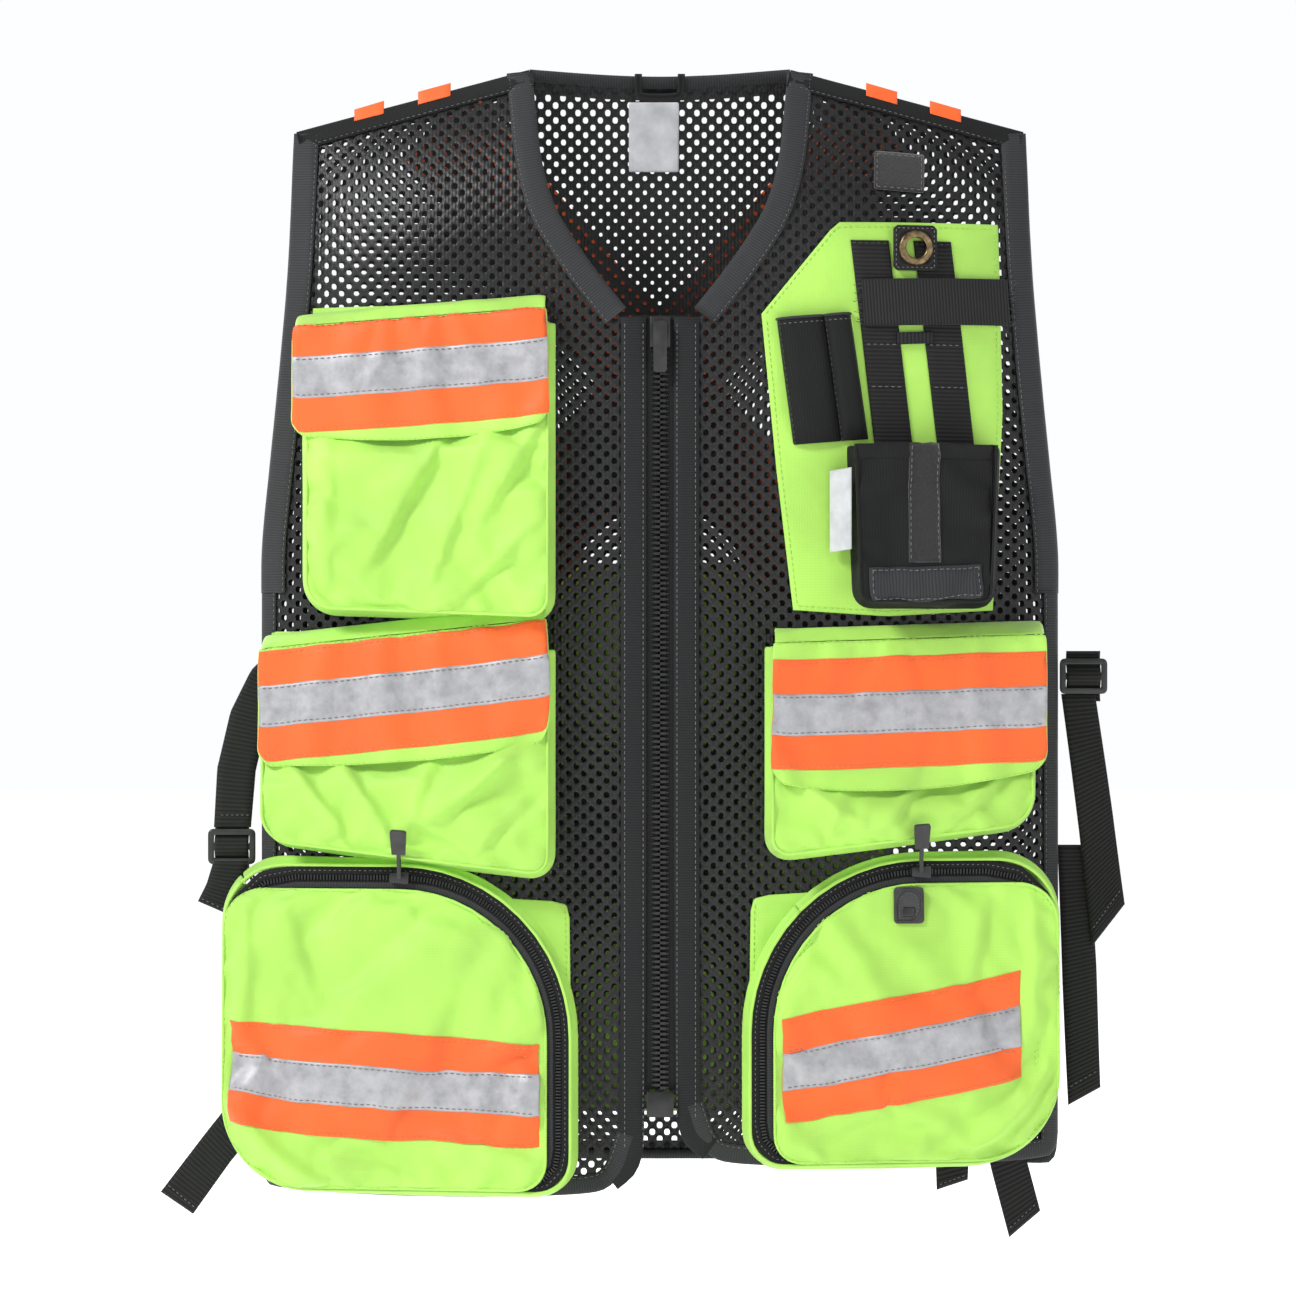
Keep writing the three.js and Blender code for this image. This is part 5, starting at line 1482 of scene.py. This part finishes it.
STRAPS = [
    ("strap_right", "root", [(-301, -508), (-299, -468), (-290, -430), (-276, -402), (-262, -388)],
     [(-276, -508), (-273, -470), (-264, -432), (-262, -400), (-258, -390)], 0,
     ("side_front_right", "buckle_right")),
    ("strap_tail_right", "strap_tail_right", [(-312, -558), (-306, -546), (-301, -530)],
     [(-289, -568), (-282, -550), (-277, -530)], 0, ("buckle_right",)),
    ("lower_tail_right", "lower_tail_right", [(-337, -754), (-308, -716), (-285, -687)],
     [(-315, -769), (-290, -734), (-268.5, -708)], 0, ("side_back_right",)),
    ("strap_tail_left", "strap_tail_left", [(292, -588), (283, -510), (271, -418)],
     [(314, -560), (306, -500), (294, -418)], 0, ("buckle_left",)),
    ("side_tail_left", "side_tail_left", [(276, -696), (272, -610), (269, -520)],
     [(298, -684), (295, -600), (290, -520)], 4, ("side_back_left",)),
    ("lower_tail_left", "lower_tail_left", [(236, -785), (224, -740), (214, -694)],
     [(257, -767), (247, -730), (238, -694)], 0, ("hem_back",)),
    ("inner_tail_left", "inner_tail_left", [(187, -753), (186, -726), (186, -700)],
     [(208, -746), (209, -722), (209, -700)], 0, ("hem_back",)),
]


def make_straps():
    for node, body, left, right, y, hangs_from in STRAPS:
        left, right = np.array(left, float), np.array(right, float)
        sides = [run([left[0], right[0]]), run(right), run([left[-1], right[-1]]), run(left)]
        wave = lambda u, v, x, z: 1.3 * np.sin(z / 21.0 + x / 60.0)
        piece = patch(f"webbing_{node}", sides, Face(lambda x, z, y=y: y + 1.0 + 0 * x), 0, 1.9, "webbing",
                      body, node, 4, wave)
        hem = left[0] + (left[-1] - left[0]) * 0.07, right[0] + (right[-1] - right[0]) * 0.07
        line = run([hem[0] + [1.5, 0], hem[1] - [1.5, 0]])(np.linspace(0, 1, 20))
        place = np.stack([line[:, 0], np.full(20, y - 1.3), line[:, 1]], 1)
        place[:, 1] -= 1.3 * np.sin(line[:, 1] / 21.0 + line[:, 0] / 60.0)
        stitch(body, "thread_grey", place, (0, -1, 0), 1.8, 1.4)
    for word, x0, z0 in (("right", -289, -521), ("left", 286, -406)):
        threaded = Face(lambda x, z, z0=z0: 3.3 * np.cos((z - z0) / 12 * math.pi) * -1.0 + 0 * x)
        patch(f"buckle_web_{word}", [(x0 - 11.5, z0 - 17), (x0 + 11.5, z0 - 17), (x0 + 11.5, z0 + 17),
                                     (x0 - 11.5, z0 + 17)], threaded, -0.8, 1.6, "webbing",
              f"buckle_{word}", None, 1.6)
    # The cord that ties the right buckle to the pocket's edge.
    loop = run([(-277, -3, -540), (-272, -10, -548), (-268, -18, -552), (-262, -26, -549),
                (-262, -26, -545), (-270, -16, -545), (-277, -5, -536)])
    ridge("buckle_cord", loop(np.linspace(0, 1, 40)), 0.9, "teeth", "root")


def make_labels():
    inside = Face(back_y, -1)
    patch("neck_label", [(-21, -62, 1), (13, -62, 1), (13, -17, 1), (-21, -17, 1)], inside, 0.6, 0.5,
          "label", "root", None, 3, lambda u, v, x, z: 2.6 * (1 - v) ** 2)
    outline = [(-17, 0), (-17, -13), (-13, -17), (13, -17), (17, -13), (17, 0)]
    line = run(as_path(outline, 1, 2))(np.linspace(0, 1, 70))
    band("loop_strap", left_of(line, (0, 0)), 0, 5, inside, 5.4, 1.4, "webbing", "root", "hanger_loop",
         step=2)
    # Ends of the back's orange tapes, turned over the shoulder seams.
    for name, points in (("a", [(-206, -32), (-186, -27), (-186, -18), (-206, -24)]),
                         ("b", [(-163, -21), (-141, -15), (-141, -6), (-163, -12)]),
                         ("c", [(139, -15), (160, -21), (160, -12), (139, -6)]),
                         ("d", [(182, -27), (203, -33), (203, -24), (182, -18)])):
        patch(f"tape_end_{name}", points, FRONT, 4.0, 0.8, "orange", "root", None, 4)


def make_grip_details():
    """A raised, stitched rim and a sunk window on the grip tab."""
    low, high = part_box("lower_grip_left")
    x0, x1 = low.x / MM, high.x / MM
    z0, z1 = low.z / MM, high.z / MM
    middle = (low.y + high.y) / 2 / MM
    flare = 0.06
    face = Face(lambda x, z: middle + POCKET_LEAN * (x - (x0 + x1) / 2) + flare * (z - (z0 + z1) / 2))
    margin, count = 1.6, 60
    left, right, foot, top = x0 + margin, x1 - margin, z0 + margin, z1 - margin
    corners = [(left, foot), (right, foot), (right, top), (left, top), (left, foot)]
    rim = run(as_path(corners, 1, 2))(np.linspace(0, 1, count))
    ridge("grip_rim", face.at(rim[:, 0], rim[:, 1], np.full(count, 1.35)), 0.7, "rubber", "lower_grip_left")
    inner = (rim - rim.mean(0)) * [0.74, 0.78] + rim.mean(0)
    seam = face.at(inner[:, 0], inner[:, 1], np.full(count, 1.25))
    stitch("lower_grip_left", "thread_grey", seam, None, 1.2, 1.0, 0.1, 0.4)
    window = [(x0 + 6, z0 + 4.5, 1), (x1 - 6, z0 + 4.5, 1), (x1 - 6, z0 + 11, 1), (x0 + 6, z0 + 11, 1)]
    patch("grip_window", window, face, 1.15, 0.45, "teeth", "lower_grip_left", None, 2)


KEPT = {"buckle_left": ("plastic", 0.9), "buckle_right": ("plastic", 0.9), "grommet": ("brass", 0.3),
        "zipper_slider": ("teeth", 0.7), "zipper_pull": ("plastic", 0.7),
        "zipper_retaining_box": ("teeth", 0.7),
        "lower_slider_left": ("teeth", 0.6), "lower_slider_right": ("teeth", 0.6),
        "lower_pull_left": ("rubber", 0.5), "lower_pull_right": ("rubber", 0.5),
        "lower_grip_left": ("rubber", 0.6)}


def dress_kept():
    for node, (material, width) in KEPT.items():
        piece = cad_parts[node]
        piece.data.materials.clear()
        piece.data.materials.append(MATERIALS[material])
        piece.data.polygons.foreach_set("use_smooth", [True] * len(piece.data.polygons))
        weld = piece.modifiers.new("weld", "WELD")
        weld.merge_threshold = 1e-5
        bevel = piece.modifiers.new("bevel", "BEVEL")
        bevel.width = width * MM
        bevel.segments = 3
        bevel.limit_method = "ANGLE"
        bevel.angle_limit = math.radians(35)
        bevel.harden_normals = True


bpy.context.scene.view_settings.view_transform = "Standard"
make_camera()
make_studio()
make_panels()
make_back()
for flap_name, flap_sizes in FLAPS.items():
    make_flap_pocket(flap_name, flap_sizes)
for lower_name, lower_sizes in LOWERS.items():
    make_lower(lower_name, lower_sizes)
make_closure()
make_radio()
make_grommet_tab()
make_straps()
make_labels()
make_grip_details()
dress_kept()
sew()
